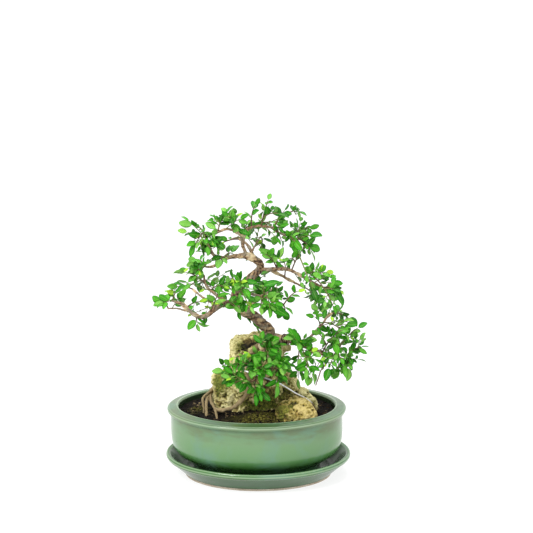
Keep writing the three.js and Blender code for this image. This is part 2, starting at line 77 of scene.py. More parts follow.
def draw(x: Array | int, y: Array | int, z: Array | int) -> Array:
    """Random numbers for whole numbers, the same on each run.

    Args:
        x: First whole number or numbers, such as a spray's.
        y: Second, such as a leaf's on it.
        z: Third, such as the feature's.

    Returns:
        Numbers from 0 to 1.
    """
    x, y, z = [(np.atleast_1d(np.asarray(k)).astype(np.int64) & WORD).astype(np.uint64) for k in (x, y, z)]
    h = (x * np.uint64(73856093) ^ y * np.uint64(19349663) ^ z * np.uint64(83492791)) & np.uint64(WORD)
    for shift, factor in ((15, 2246822519), (13, 3266489917)):
        h = ((h ^ (h >> np.uint64(shift))) * np.uint64(factor)) & np.uint64(WORD)
    return (h ^ (h >> np.uint64(16))) / 4294967296


def noise(points: Array, size: float, seed: int = 0) -> Array:
    """Smooth random field.

    Args:
        points: Places as rows of three, in millimetres.
        size: Distance between two random values, in millimetres.
        seed: Another number gives another field.

    Returns:
        Values from -1 to 1.
    """
    grid = points / size + 71.3 * seed
    low = np.floor(grid)
    blend = grid - low
    blend = blend * blend * (3 - 2 * blend)
    total = np.zeros(len(points))
    for corner in product((0, 1), repeat=3):
        weight = np.prod(np.where(corner, blend, 1 - blend), axis=1)
        total += weight * draw(*(low + corner).T)
    return 2 * total - 1


def rough(points: Array, size: float, octaves: int, seed: int = 0) -> Array:
    """Noise on noise, each octave half as coarse and a little over half as strong."""
    layers = [0.55 ** i * noise(points, size / 2 ** i, seed + i) for i in range(octaves)]
    return sum(layers) / sum(0.55 ** i for i in range(octaves))


def unit(vector: Array) -> Array:
    """Vectors of length 1 along the given ones."""
    return vector / np.maximum(np.linalg.norm(vector, axis=-1, keepdims=True), 1e-9)


def step_up(low: float, high: float, value: Array) -> Array:
    """Smooth rise from 0 at low to 1 at high."""
    share = np.clip((value - low) / (high - low), 0, 1)
    return share * share * (3 - 2 * share)


def oval_depth(half_width: Array) -> Array:
    """Half depth of the pot's oval at a half width."""
    return half_width - OVAL * np.minimum(1, half_width / OVAL_FROM) ** 2


def oval(out: Array, around: int) -> tuple[Array, Array]:
    """Distances across and along the depth of ovals, from their half widths as a column."""
    angle = np.arange(around) / around * FULL_TURN
    return out * np.cos(angle), oval_depth(out) * np.sin(angle)


def rows_of(text: str) -> list[list[float]]:
    """Rows of numbers, from text with a comma between rows."""
    return [[float(number) for number in row.split()] for row in text.split(",") if row]


def put(name: str, data: bpy.types.ID) -> Object:
    """Put an object with this data in the scene.

    Args:
        name: Its name.
        data: Its mesh, light or camera.

    Returns:
        The object.
    """
    made = bpy.data.objects.new(name, data)
    bpy.context.scene.collection.objects.link(made)
    return made


def wrap(rows: int, around: int) -> tuple[Array, Array]:
    """Faces between rings of points.

    Args:
        rows: How many rings there are.
        around: Points in each ring.

    Returns:
        The walls between them, and the caps on the first and last.
    """
    low = np.arange((rows - 1) * around).reshape(rows - 1, around)
    side = np.roll(low, -1, axis=1)
    walls = np.stack([low, side, side + around, low + around], axis=-1).reshape(-1, 4)
    first = np.arange(around)
    return walls, np.stack([first[::-1], first + (rows - 1) * around])


@dataclass
class Path:
    """A smooth line in space, as points close together, measured along its length."""

    points: Array

    def __post_init__(self) -> None:
        """Measure the line."""
        runs = np.linalg.norm(np.diff(self.points, axis=0), axis=1)
        self.reach = np.concatenate([[0.0], np.cumsum(runs)])
        self.length = float(self.reach[-1])

    @classmethod
    def through(cls, marks: str) -> "Path":
        """Smooth line through marks, as a cubic spline whose slope at a mark follows its neighbours.

        Args:
            marks: The marks, as text with a comma between them.

        Returns:
            The line.
        """
        knots = np.array(rows_of(marks))
        p = np.vstack([2 * knots[0] - knots[1], knots, 2 * knots[-1] - knots[-2]])
        t = np.linspace(0, 1, STEPS, endpoint=False)[:, None]
        runs = []
        for a, b, c, d in zip(p, p[1:], p[2:], p[3:]):
            start, stop = (c - a) / 2, (d - b) / 2
            runs.append((2 * t ** 3 - 3 * t ** 2 + 1) * b + (t ** 3 - 2 * t ** 2 + t) * start
                        + (3 * t ** 2 - 2 * t ** 3) * c + (t ** 3 - t ** 2) * stop)
        return cls(np.vstack([*runs, knots[-1]]))

    @classmethod
    def arch(cls, start: Array, knee: Array, end: Array) -> "Path":
        """Arch from start to end, pulled towards its knee."""
        t = np.linspace(0, 1, STEPS + 1)[:, None]
        return cls((1 - t) ** 2 * start + 2 * t * (1 - t) * knee + t ** 2 * end)

    def at(self, share: float | Array) -> Array:
        """Point, or rows of points, at a share of the length."""
        place = np.asarray(share) * self.length
        return np.stack([np.interp(place, self.reach, column) for column in self.points.T], axis=-1)

    def way(self, share: float | Array) -> Array:
        """Direction of the line at a share of the length."""
        share = np.asarray(share, float)
        return unit(self.at(np.minimum(share + 0.01, 1)) - self.at(np.maximum(share - 0.01, 0)))


@dataclass
class Shell:
    """Gathers the points and faces of one piece, with named values for its points."""

    points: list[Array] = field(default_factory=list)
    faces: list[tuple[Array, int]] = field(default_factory=list)
    values: list[dict[str, Array | float]] = field(default_factory=list)
    count: int = 0

    def add(self, points: Array, faces: tuple[Array, ...], finish: int | tuple[int, ...] = 0,
            **values: Array | float) -> None:
        """Add a surface.

        Args:
            points: Its points, as rows of three in millimetres.
            faces: Its faces in groups of as many corners, as rows of point numbers.
            finish: Which of the piece's finishes it has, one for all or one for each group.
            values: Named values, one for all points or one for each.
        """
        finishes = (finish,) * len(faces) if isinstance(finish, int) else finish
        self.faces += [(part + self.count, number) for part, number in zip(faces, finishes)]
        self.points.append(points)
        self.values.append(values)
        self.count += len(points)

    def tube(self, path: Path, radius: Callable, sides: int, steps: int, finish: int = 0,
             relief: Callable | None = None, **values: float) -> None:
        """Add a closed tube along a line.

        Args:
            path: Its centre line.
            radius: Gives its radius at shares of its length.
            sides: Corners round it.
            steps: Stretches along it.
            finish: Which of the piece's finishes it has.
            relief: Gives how far its surface stands out, from its points and shares along and round.
            values: Named values for its points.
        """
        shares = np.linspace(0, 1, steps + 1)
        ways = path.way(shares)
        side = np.cross(ways[0], UP if abs(ways[0][2]) < 0.9 else np.array([1.0, 0.0, 0.0]))
        across = []
        for way in ways:
            side = unit(side - way * np.dot(side, way))
            across.append(side)
        across = np.array(across)
        turn = np.arange(sides) / sides
        spokes = (np.cos(turn * FULL_TURN)[None, :, None] * across[:, None]
                  + np.sin(turn * FULL_TURN)[None, :, None] * np.cross(ways, across)[:, None])
        width = np.broadcast_to(radius(shares)[:, None], (steps + 1, sides))
        points = (path.at(shares)[:, None] + spokes * width[..., None]).reshape(-1, 3)
        along = np.repeat(shares * path.length, sides)
        lift = np.zeros(len(points))
        if relief:
            lift = relief(points, along, np.tile(turn, steps + 1))
            points = points + spokes.reshape(-1, 3) * lift[:, None]
        self.add(points, wrap(steps + 1, sides), finish, along=along, relief=lift, **values)

    def piece(self, name: str, finishes: list[Material], slot: str,
              stands_for: tuple[str, ...]) -> Object:
        """Make the piece as a mesh that rides on the root body.

        Args:
            name: The piece's name.
            finishes: Its materials, by finish number.
            slot: The record's material slot; not used.
            stands_for: The CAD nodes that it replaces.

        Returns:
            The object.
        """
        points = np.concatenate(self.points)
        corners = np.concatenate([part.ravel() for part, _ in self.faces])
        sizes = np.concatenate([np.full(len(part), part.shape[1]) for part, _ in self.faces])
        numbers = np.concatenate([np.full(len(part), number) for part, number in self.faces])
        mesh = bpy.data.meshes.new(name)
        mesh.vertices.add(len(points))
        mesh.loops.add(len(corners))
        mesh.polygons.add(len(sizes))
        for group, key, column, kind in (
                (mesh.vertices, "co", points * MM, np.float32),
                (mesh.loops, "vertex_index", corners, np.int32),
                (mesh.polygons, "loop_start", np.cumsum(sizes) - sizes, np.int32),
                (mesh.polygons, "material_index", numbers, np.int32),
                (mesh.polygons, "use_smooth", np.ones(len(sizes)), bool)):
            group.foreach_set(key, column.astype(kind).ravel())
        for key in sorted(set().union(*self.values)):
            column = [np.broadcast_to(kept.get(key, 0.0), len(part))
                      for kept, part in zip(self.values, self.points)]
            data = mesh.attributes.new(key, "FLOAT", "POINT").data
            data.foreach_set("value", np.concatenate(column).astype(np.float32))
        mesh.update(calc_edges=True)
        mesh.validate()
        for finish in finishes:
            mesh.materials.append(finish)
        made = put(name, mesh)
        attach(made, "root")
        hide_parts(*stands_for)
        LOG.info("%s: %d points, %d faces", name, len(points), len(sizes))
        return made


class Shading:
    """The shader nodes of one material, with short calls for the nodes that repeat."""

    def __init__(self, name: str) -> None:
        """Start a material.

        Args:
            name: Its name.
        """
        self.material = bpy.data.materials.new(name)
        self.material.use_nodes = True
        self.tree = self.material.node_tree
        self.place = self.add("TexCoord").outputs["Object"]

    def give(self, socket: Socket, value: object) -> None:
        """Link another socket to an input, or set a plain value on it.

        Args:
            socket: The input.
            value: The other socket or the value.
        """
        if isinstance(value, Socket):
            self.tree.links.new(value, socket)
        else:
            socket.default_value = value

    def add(self, kind: str, takes: dict | None = None, stops: str = "",
            **settings: object) -> bpy.types.Node:
        """Add a shader node with its settings and links.

        Args:
            kind: The node's type without its ShaderNode prefix.
            takes: What each input takes, by its name or number: a socket or a plain value.
            stops: Places and hex colours along a colour ramp, with a comma between stops.
            settings: The node's own options.

        Returns:
            The new node.
        """
        made = self.tree.nodes.new("ShaderNode" + kind)
        for name, value in settings.items():
            setattr(made, name, value)
        for number, (place, code) in enumerate(row.split() for row in stops.split(",") if row):
            elements = made.color_ramp.elements
            stop = elements[number] if number < 2 else elements.new(float(place))
            stop.position = float(place)
            stop.color = linear(code)
        for name, value in (takes or {}).items():
            self.give(made.inputs[name], value)
        return made

    def noise(self, size: float, detail: float, moved: dict | None = None, **more: float) -> Socket:
        """Noise pattern.

        Args:
            size: How far its features are across, in millimetres.
            detail: How many finer octaves it has.
            moved: How its place is shifted or squashed, as inputs of a mapping.
            more: Its other inputs.

        Returns:
            Its values.
        """
        place = self.add("Mapping", {"Vector": self.place, **moved}).outputs[0] if moved else self.place
        takes = {"Vector": place, "Scale": 1 / (size * MM), "Detail": detail, **more}
        return self.add("TexNoise", takes).outputs[0]

    def cells(self, size: float) -> Socket:
        """Distance to the nearest of random points this many millimetres apart."""
        return self.add("TexVoronoi", {"Vector": self.place, "Scale": 1 / (size * MM)}).outputs[0]

    def axis(self, name: str) -> Socket:
        """Where a point is along an axis, in metres."""
        return self.add("SeparateXYZ", {0: self.place}).outputs[name]

    def value(self, name: str) -> Socket:
        """The named value that a mesh keeps for its points."""
        return self.add("Attribute", attribute_name=name).outputs["Fac"]

    def span(self, value: Socket, start: float, stop: float, low: float = 0.0, high: float = 1.0) -> Socket:
        """Turn a span of values, from start to stop, into one from low to high."""
        takes = {"Value": value, "From Min": start, "From Max": stop, "To Min": low, "To Max": high}
        return self.add("MapRange", takes).outputs[0]

    def calc(self, operation: str, *values: Socket | float) -> Socket:
        """Work out a sum, a product or the like."""
        return self.add("Math", dict(enumerate(values)), operation=operation).outputs[0]

    def ramp(self, share: Socket, stops: str) -> Socket:
        """Colour along a ramp."""
        return self.add("ValToRGB", {"Fac": share}, stops).outputs[0]

    def mix(self, share: Socket, lower: Socket | str, upper: Socket | str) -> Socket:
        """Lay a colour over another, each a socket or a hex code."""
        lower, upper = [linear(k) if isinstance(k, str) else k for k in (lower, upper)]
        return self.add("MixRGB", {"Fac": share, "Color1": lower, "Color2": upper}).outputs[0]

    def done(self, relief: Socket, strength: float, deep: float, **values: object) -> Material:
        """Give the shader its relief and its inputs.

        Args:
            relief: Height of the relief.
            strength: How strongly it shades.
            deep: How deep it is, in millimetres.
            values: Sockets or plain values for its inputs, spaces in their names as underscores.

        Returns:
            The material.
        """
        bump = self.add("Bump", {"Height": relief, "Strength": strength, "Distance": deep * MM})
        for name, value in {**values, "Normal": bump.outputs[0]}.items():
            self.give(self.tree.nodes["Principled BSDF"].inputs[name.replace("_", " ")], value)
        return self.material


@dataclass(frozen=True)
class CeladonGlaze:
    """Stoneware under a glossy celadon glaze, dipped and fired.

    The wall is painted darker towards its foot and underside, and the inner walls and the saucer's
    wall under its lip are painted dark, both as painted shade; the front of the rim's top is painted
    dark as a painted reflection. The glaze runs thin and pale over every edge, a pale band that is also
    a painted highlight, and clouds blue and brown where its iron burned. A few iron specks break through.
    """

    name: str = "celadon_glazed_stoneware"
    low: float = 9.0  # height where the wall's painted shade is darkest, in millimetres
    high: float = 95.0  # height where it is palest
    # Colours from low to high; the dark low stops are painted shade on the foot and underside
    body: str = "0 #1e3e12, .26 #356529, .45 #5a8253, .7 #64855d, .9 #5a7956, 1 #5a775a"
    # Colours of the painted shade on the inner walls and under the saucer's lip, from light to deep
    painted_shade_colours: str = ".3 #41643f, .6 #2b3d28, 1 #1d2a1a"

    def make(self) -> Material:
        """Set colour by height and edge, with painted shade, a painted reflection and a painted highlight,
        clouds, specks and a gently waved gloss.

        Returns:
            The material.
        """
        s = Shading(self.name)
        height = s.axis("Z")
        level = s.calc("ADD", height, s.span(s.noise(45, 3), 0, 1, -0.009, 0.009))
        # The dark low end of this ramp is painted shade on the foot and underside.
        colour = s.ramp(s.span(level, self.low * MM, self.high * MM), self.body)
        cloud = s.noise(38, 4, Distortion=0.6)
        colour = s.mix(s.span(cloud, 0.48, 0.7, 0, 0.5), colour, "#5d8275")
        band = s.noise(30, 5, {"Scale": (1.0, 1.0, 3.2), "Location": (0.3, 0.1, 0.2)})
        under_rim = s.span(level, 66 * MM, 78 * MM)
        brown = s.calc("MULTIPLY", s.span(band, 0.42, 0.62, 0, 0.75), under_rim)
        colour = s.mix(brown, colour, "#5c6a48")
        # Painted reflection: the front of the rim's top is painted dark green.
        front = s.span(s.axis("Y"), -45 * MM, -92 * MM, 0, 0.8)
        painted_dark_reflection = s.calc("MULTIPLY", front, s.span(height, 88 * MM, 92 * MM))
        colour = s.mix(painted_dark_reflection, colour, "#2c4c22")
        # Painted shade: the inner walls of pot and saucer and the saucer's wall under its lip are darkened.
        stain = s.value("stain")
        colour = s.mix(s.span(stain, 0, 0.3, 0, 0.85), colour, s.ramp(stain, self.painted_shade_colours))
        # Pale band over the edges: thin glaze, and a painted highlight.
        colour = s.mix(s.span(s.value("edge"), 0, 1, 0, 0.75), colour, "#99af8e")
        colour = s.mix(s.span(s.cells(24), 0.06, 0.03, 0, 0.7), colour, "#37542c")
        return s.done(s.noise(11, 2), 0.25, 0.5, Base_Color=colour, IOR=1.5,
                      Roughness=s.span(cloud, 0, 1, 0.05, 0.28),
                      Specular_IOR_Level=s.span(stain, 0, 0.3, 0.5, 0.2))


@dataclass(frozen=True)
class BareStoneware:
    """Fired buff stoneware left unglazed, thrown and wiped: matt, sandy and a little stained."""

    name: str = "unglazed_buff_stoneware"

    def make(self) -> Material:
        """Set a sandy, stained surface.

        Returns:
            The material.
        """
        s = Shading(self.name)
        sand = s.noise(1.2, 3)
        tone = s.span(s.calc("ADD", sand, s.noise(18, 4)), 0.7, 1.3)
        colour = s.ramp(tone, "0 #8d806c, .5 #a79b89, 1 #bbb3a3")
        return s.done(sand, 0.4, 0.3, Base_Color=colour, Roughness=0.85)


@dataclass(frozen=True)
class PottingSoil:
    """Damp peaty potting mix: near black, with brown crumbs of bark and a few pale fibres."""

    name: str = "damp_potting_soil"

    def make(self) -> Material:
        """Set the colour by crumb, paler on chips, and a crumbly relief.

        Returns:
            The material.
        """
        s = Shading(self.name)
        crumb = s.noise(2.6, 5, Roughness=0.7)
        share = s.span(s.calc("ADD", crumb, s.value("tone")), 0.45, 1.65)
        colour = s.ramp(share, "0 #030201, .25 #0b0704, .5 #20170e, .75 #4c3d29, 1 #8a7a5a")
        mossy = s.ramp(crumb, ".32 #191508, .48 #504d1a, .66 #a09a45")
        colour = s.mix(s.value("moss"), colour, mossy)
        return s.done(crumb, 0.9, 0.9, Base_Color=colour, Roughness=0.9, Specular_IOR_Level=0.15)


@dataclass(frozen=True)
class MossyTufa:
    """Weathered tufa limestone: pale tan on its knobs and upward faces, partly painted light, and dark in
    its pores, pits and hollows as painted shade, with moss and lichen.
    """

    name: str = "mossy_tufa_limestone"
    # Colours from crevice to crest; the dark end is painted shade, the pale end partly painted light
    colours: str = "0 #191308, .22 #443919, .42 #7a713c, .66 #aea566, 1 #dcd49c"
    moss: str = "#576219"  # colour of the moss
    rust: str = "#988244"  # colour of its stains

    def make(self) -> Material:
        """Set colour by relief with painted light and shade, and by grain, moss by its own value, and a
        pitted relief.

        Returns:
            The material.
        """
        s = Shading(self.name)
        grain = s.noise(2.6, 8, Roughness=0.75)
        swing = s.span(grain, 0.3, 0.7, -0.55, 0.55)
        # Colour by relief, with painted shade in pits and hollows and painted light on upward faces.
        colour = s.ramp(s.calc("ADD", s.value("crest"), swing), self.colours)
        colour = s.mix(s.span(s.noise(16, 5), 0.5, 0.7, 0, 0.5), colour, self.rust)
        green = s.span(s.calc("MULTIPLY", s.value("moss"), grain), 0.18, 0.42)
        mossy = s.ramp(grain, f".3 #2a280c, .5 {self.moss}, .7 #9b9637")
        pitted = s.calc("ADD", grain, s.cells(3.4))
        return s.done(pitted, 0.9, 1.3, Base_Color=s.mix(green, colour, mossy), Roughness=0.92)


@dataclass(frozen=True)
class Bark:
    """Old zelkova bark: grey-brown with cream and dark bands along its twist, the dark in its creases
    partly painted shade, smoother on roots.
    """

    name: str = "zelkova_bark"
    # Colours from crease to ridge; the dark crease end is partly painted shade
    colours: str = "0 #1e130b, .24 #513a28, .46 #8a6e52, .7 #b2976f, 1 #d0bc94"
    grey: str = "#8a8575"  # colour of its weathered patches
    red: str = "#815d48"  # colour of its newer patches
    root: str = "#8b7a56"  # colour of the washed roots

    def make(self) -> Material:
        """Set colour by relief, with painted shade in the creases, flakes and patches, and a fissured
        relief.

        Returns:
            The material.
        """
        s = Shading(self.name)
        flake = s.noise(1.9, 6, Roughness=0.7)
        # Colour by relief: creases darker, partly as painted shade.
        ridge_and_crease_shade = s.span(s.value("relief"), -0.8, 0.9)
        colour = s.ramp(s.calc("ADD", ridge_and_crease_shade, s.span(flake, 0.3, 0.7, -0.27, 0.27)), self.colours)
        colour = s.mix(s.span(s.noise(9, 4), 0.48, 0.6, 0, 0.6), colour, self.grey)
        stain = s.noise(7, 4, {"Location": (0.31, 0.17, 0.23)})
        colour = s.mix(s.span(stain, 0.54, 0.66, 0, 0.45), colour, self.red)
        colour = s.mix(s.calc("MULTIPLY", s.value("skin"), flake), colour, self.root)
        return s.done(flake, 0.9, 0.8, Base_Color=colour, Roughness=0.85)


@dataclass(frozen=True)
class TwigBark:
    """Young zelkova twigs: thin red-brown bark on the older wood, green at the growing end."""

    name: str = "young_twig_bark"

    def make(self) -> Material:
        """Set colour from brown to green along the twig.

        Returns:
            The material.
        """
        s = Shading(self.name)
        grain = s.noise(1.6, 3)
        age = s.calc("ADD", s.span(s.value("tone"), 0, 1, -0.15, 0.85), grain)
        colour = s.ramp(age, ".2 #2c1c12, .5 #553b2a, .8 #655a30, 1 #6b8636")
        return s.done(grain, 0.4, 0.2, Base_Color=colour, Roughness=0.6)


@dataclass(frozen=True)
class LeafTissue:
    """Living zelkova leaves: satin mid green with a paler midrib and veins, paler below.

    Young leaves are yellow-green, and each leaf differs a little from its neighbours.
    """

    name: str = "zelkova_leaf"

    def make(self) -> Material:
        """Set colour by leaf, side and vein, with painted shade at the margins, and pleats between the
        veins.

        Returns:
            The material.
        """
        s = Shading(self.name)
        share = s.calc("ADD", s.value("tone"), s.span(s.noise(6, 3), 0, 1, -0.12, 0.12))
        colour = s.ramp(share, "0 #0b5000, .25 #1f7c00, .5 #409612, .75 #74b04c, 1 #a4d434")
        off = s.calc("ABSOLUTE", s.value("across"))
        slant = s.calc("MULTIPLY_ADD", off, -0.32, s.value("along"))
        pleat = s.calc("COSINE", s.calc("MULTIPLY", slant, FULL_TURN * 8))
        vein = s.span(pleat, 0.82, 1.0, 0, 0.35)
        lines = s.calc("MAXIMUM", vein, s.span(off, 0.1, 0.02, 0, 0.6))
        colour = s.mix(lines, colour, "#7fad4c")
        # Painted shade: leaf margins painted darker, standing in for the shade of their droop.
        colour = s.mix(s.span(off, 0.7, 1.0, 0, 0.45), colour, "#0f4e00")
        colour = s.mix(s.span(s.value("under"), 0, 1, 0, 0.45), colour, "#80a860")
        return s.done(pleat, 0.35, 0.25, Base_Color=colour, Roughness=0.32, Specular_IOR_Level=0.25,
                      Specular_Tint=linear("#dcf2cc"))


@dataclass(frozen=True)
class Aluminium:
    """Drawn aluminium training wire, bright or anodised, brown and matt below a set height."""

    name: str = "drawn_aluminium_wire"
    metal: str = "#d9dadb"  # colour of the metal
    soil: str = "#6b5a45"  # colour below that height
    brown_under: float = 104.0  # height under which it turns brown and matt, in millimetres

    def make(self) -> Material:
        """Set metal above, a brown matt colour below, and fine drawing marks.

        Returns:
            The material.
        """
        s = Shading(self.name)
        smear = s.noise(4, 4)
        level = s.calc("ADD", s.axis("Z"), s.span(smear, 0, 1, -0.008, 0.008))
        brown_share = s.span(level, (self.brown_under + 3) * MM, (self.brown_under - 3) * MM)
        return s.done(smear, 0.2, 0.1, Base_Color=s.mix(brown_share, self.metal, self.soil),
                      Metallic=s.span(brown_share, 0, 1, 1.0, 0.1), Roughness=s.span(brown_share, 0, 1, 0.3, 0.85))


@dataclass(frozen=True)
class Corner:
    """A corner of a turned outline."""

    out: float  # half width there
    up: float  # height there
    round: float = 1.0  # how far from the corner its rounding starts
    edge: float = 0.0  # how thin and pale the glaze runs there, also a painted highlight, from 0 to 1
    stain: float = 0.0  # how dark the painted shade makes it there, from 0 to 1


@dataclass
class Turned:
    """A piece turned on the wheel and pressed oval."""

    outline: str  # its corners, from the middle of the underside out and back in, as rows of numbers
    shift: float = 0.0  # how far it stands off the saucer's centre, along X
    bare_under: float = 0.0  # height under which it is left unglazed
    around: int = 200  # facets round it
    bend: int = 7  # points that round each corner
    sway: float = 0.35  # how far the maker's hand let its wall wander

    def profile(self) -> tuple[Array, Array, Array]:
        """Round the outline's corners.

        Returns:
            Points of half width and height, how thin the glaze runs with its painted highlight, and how
            dark its painted shade is at each.
        """
        corners = [Corner(*row) for row in rows_of(self.outline)]
        marks = np.array([(corner.out, corner.up) for corner in corners])
        t = np.linspace(0, 1, self.bend)[:, None]
        places = [marks[:1]]
        for before, here, after, corner in zip(marks, marks[1:], marks[2:], corners[1:]):
            start, stop = [here + unit(end - here) * min(corner.round, 0.48 * np.linalg.norm(end - here))
                           for end in (before, after)]
            places.append((1 - t) ** 2 * start + 2 * t * (1 - t) * here + t ** 2 * stop)
        thin_glaze_highlights = np.outer([corner.edge for corner in corners[1:-1]], np.sin(math.pi * t)).ravel()
        painted_shades = np.repeat([corner.stain for corner in corners[1:-1]], self.bend)
        return np.concatenate([*places, marks[-1:]]), np.pad(thin_glaze_highlights, 1), np.pad(painted_shades, 1)

    def build(self, name: str, stands_for: str) -> Object:
        """Turn the outline and make the piece.

        Args:
            name: The piece's name.
            stands_for: The CAD node that it replaces.

        Returns:
            The object.
        """
        outline, thin_glaze_highlights, painted_shades = self.profile()
        x, y = oval(outline[:, :1], self.around)
        up = np.broadcast_to(outline[:, 1:], x.shape)
        points = np.stack([x + self.shift, y, up], axis=-1).reshape(-1, 3)
        grown = step_up(self.bare_under, self.bare_under + 12, points[:, 2])
        wander = self.sway * grown * noise(points * [1, 1, 2.2], 34, 5)
        points[:, :2] += unit(points[:, :2]) * wander[:, None]
        walls, caps = wrap(len(outline), self.around)
        bare = points[walls][:, :, 2].mean(axis=1) < self.bare_under
        shell = Shell()
        shell.add(points, (walls[~bare], walls[bare], caps), (0, 1, 1),
                  edge=np.repeat(thin_glaze_highlights, self.around), stain=np.repeat(painted_shades, self.around))
        return shell.piece(name, [CeladonGlaze().make(), BareStoneware().make()], "glaze", (stands_for,))


# Corners: half width, height, rounding, thin glaze with its painted highlight, and painted shade
POT = Turned("9 16, 76 16, 77 9.3 .8, 85 9.3 .8, 86 19 3, 103.6 28.9 9, 111.8 39 9, 114.8 52 9, "
             "114.8 86.1 1.5, 118.8 87 2.2 .1, 119.6 91 2.6 .8, 117.6 93 1.6 .4, 109 94.1 2, "
             "106.2 95.4 1.8 .9, 104.1 93.6 1.8 .5, 104 91 .6 0 1, 104 46 9 0 1, 95 33 8, 82 23 4, 9 23",
             POT_X, 9.9)
SAUCER = Turned("20 0, 98 0 .6, 98.4 2.8 .6, 107.6 11.2 5 0 .4, 119.2 21.6 2 0 .4, 121.9 23 1.4 .2, "
                "123.9 26.2 1.8 .8, 122.6 30.2 2 .7, 118.4 29.8 1.8 .4, 107 15 6 0 .35, 99 9 4 0 .6, 20 9",
                0.0, 2.7)


@dataclass
class SoilBed:
    """The potting soil, level by the wall and mounded to the rock, with crumbs, chips and moss."""

    level: float = 86.0  # height of the soil by the wall
    mound: float = 5.0  # how much higher it is in the middle
    bank: float = 7.0  # how much higher it is banked against the front of the rock
    edge: float = 103.6  # half width of its outer edge
    rings: int = 64  # rings of its surface
    around: int = 220  # facets round it
    # Half widths and heights of the rings that close it below
    under: tuple[tuple[float, float], ...] = ((103.6, 46.3), (94.6, 33.3), (81.6, 23.3))
    chips: int = 1500  # bark chips and crumbs that lie on it
    fibres: int = 46  # root fibres that lie on it
    tufts: int = 420  # tufts of moss on it

    def height(self, x: Array, y: Array) -> Array:
        """Height of the soil at a place, with its crumbs.

        Args:
            x: Distances to the right of the pot's middle.
            y: Distances behind it.

        Returns:
            Heights above the ground.
        """
        mound = self.mound * np.exp(-((x / 62) ** 2) - (y / 44) ** 2)
        mound = mound + self.bank * np.exp(-(((x - 10) / 32) ** 2) - ((y + 37) / 14) ** 2)
        crumbs = np.sin(x / 5.3 + 1) * np.cos(y / 4.7) + 0.6 * np.sin((x + y) / 9)
        places = np.stack([x, y, 0 * x], axis=-1)
        return self.level + mound + 0.7 * crumbs + 1.7 * rough(places, 7, 4, 3)

    def spots(self, number: Array, channel: int, reach: float) -> Array:
        """Random places on the soil.

        Args:
            number: The numbers of what lies there.
            channel: Another number gives other places.
            reach: How far out they lie, as a share of the soil's half width.

        Returns:
            The places as rows of three, off the pot's middle.
        """
        out = self.edge * reach * np.sqrt(draw(number, channel, 1))
        angle = draw(number, channel, 2) * FULL_TURN
        x, y = out * np.cos(angle), oval_depth(out) * np.sin(angle)
        return np.stack([x, y, self.height(x, y)], axis=-1)

    def moss_at(self, points: Array) -> Array:
        """How mossy the soil is.

        Args:
            points: Places as rows of three, off the pot's middle.

        Returns:
            Values from 0 to 1.
        """
        x, y = points[:, 0], points[:, 1]
        front = np.exp(-(((x - 6) / 40) ** 2) - ((y + 50) / 20) ** 2)
        most = np.maximum(front, 0.7 * np.exp(-(((x + 78) / 16) ** 2) - (y / 26) ** 2))
        return np.clip(most + 0.35 * noise(points * [1, 1, 0], 9, 8) - 0.2, 0, 1)

    def build(self) -> Object:
        """Make the soil and all that lies on it.

        Returns:
            The object.
        """
        under, heights = np.array(self.under).T
        out = np.concatenate([np.linspace(1.0, self.edge, self.rings), under])
        x, y = oval(out[:, None], self.around)
        up = self.height(x.ravel(), y.ravel()).reshape(x.shape)
        up[self.rings:] = heights[:, None]
        points = np.stack([x, y, up], axis=-1).reshape(-1, 3)
        walls, caps = wrap(len(out), self.around)
        shell = Shell()
        shell.add(points + [POT_X, 0, 0], (walls[:, [0, 3, 2, 1]], caps[:, ::-1]), tone=0.25,
                  moss=0.6 * self.moss_at(points))
        self.strew(shell)
        self.lay_fibres(shell)
        self.grow_moss(shell)
        return shell.piece("potting_soil", [PottingSoil().make()], "soil", ("soil",))

    def strew(self, shell: Shell) -> None:
        """Strew bark chips and crumbs on the soil, as bent boxes.

        Args:
            shell: The soil's mesh.
        """
        cube = np.array(list(product((-0.5, 0.5), repeat=3)))
        sides = np.array([(0, 1, 3, 2), (4, 6, 7, 5), (0, 4, 5, 1), (2, 3, 7, 6), (0, 2, 6, 4),
                          (1, 5, 7, 3)])
        number = np.arange(self.chips)
        places = self.spots(number, 11, 0.97) + [POT_X, 0, 0.2]
        sizes = 1.1 + 4.2 * draw(number, 12, 1) ** 3
        tones = 0.15 + 0.95 * draw(number, 12, 2) ** 2.2
        for i, place, size, tone in zip(number, places, sizes, tones):
            spin, tip, flat = [draw(i, 13, channel)[0] for channel in (1, 2, 3)]
            turn = Matrix.Rotation(spin * FULL_TURN, 3, "Z") @ Matrix.Rotation(0.9 * (tip - 0.5), 3, "X")
            shape = cube * [size, size * (0.4 + 0.4 * flat), 0.5 + 0.3 * size]
            shape = shape * (1 - 0.35 * draw(np.arange(8), i, 14)[:, None])
            shell.add(shape @ np.array(turn).T + place, (sides,), tone=tone)

    def lay_fibres(self, shell: Shell) -> None:
        """Lay root fibres on the soil.

        Args:
            shell: The soil's mesh.
        """
        starts = self.spots(np.arange(self.fibres), 15, 0.9) + [POT_X, 0, 0.6]
        for i, start in enumerate(starts):
            spin, reach, bow = [draw(i, 16, channel)[0] for channel in (1, 2, 3)]
            way = np.array([math.cos(spin * FULL_TURN), math.sin(spin * FULL_TURN), 0.0])
            away = way * (7 + 12 * reach)
            path = Path.arch(start, start + away / 2 + [0, 0, 3 * bow], start + away)
            shell.tube(path, lambda s: 0.45 - 0.2 * s, 5, 8, tone=0.9)

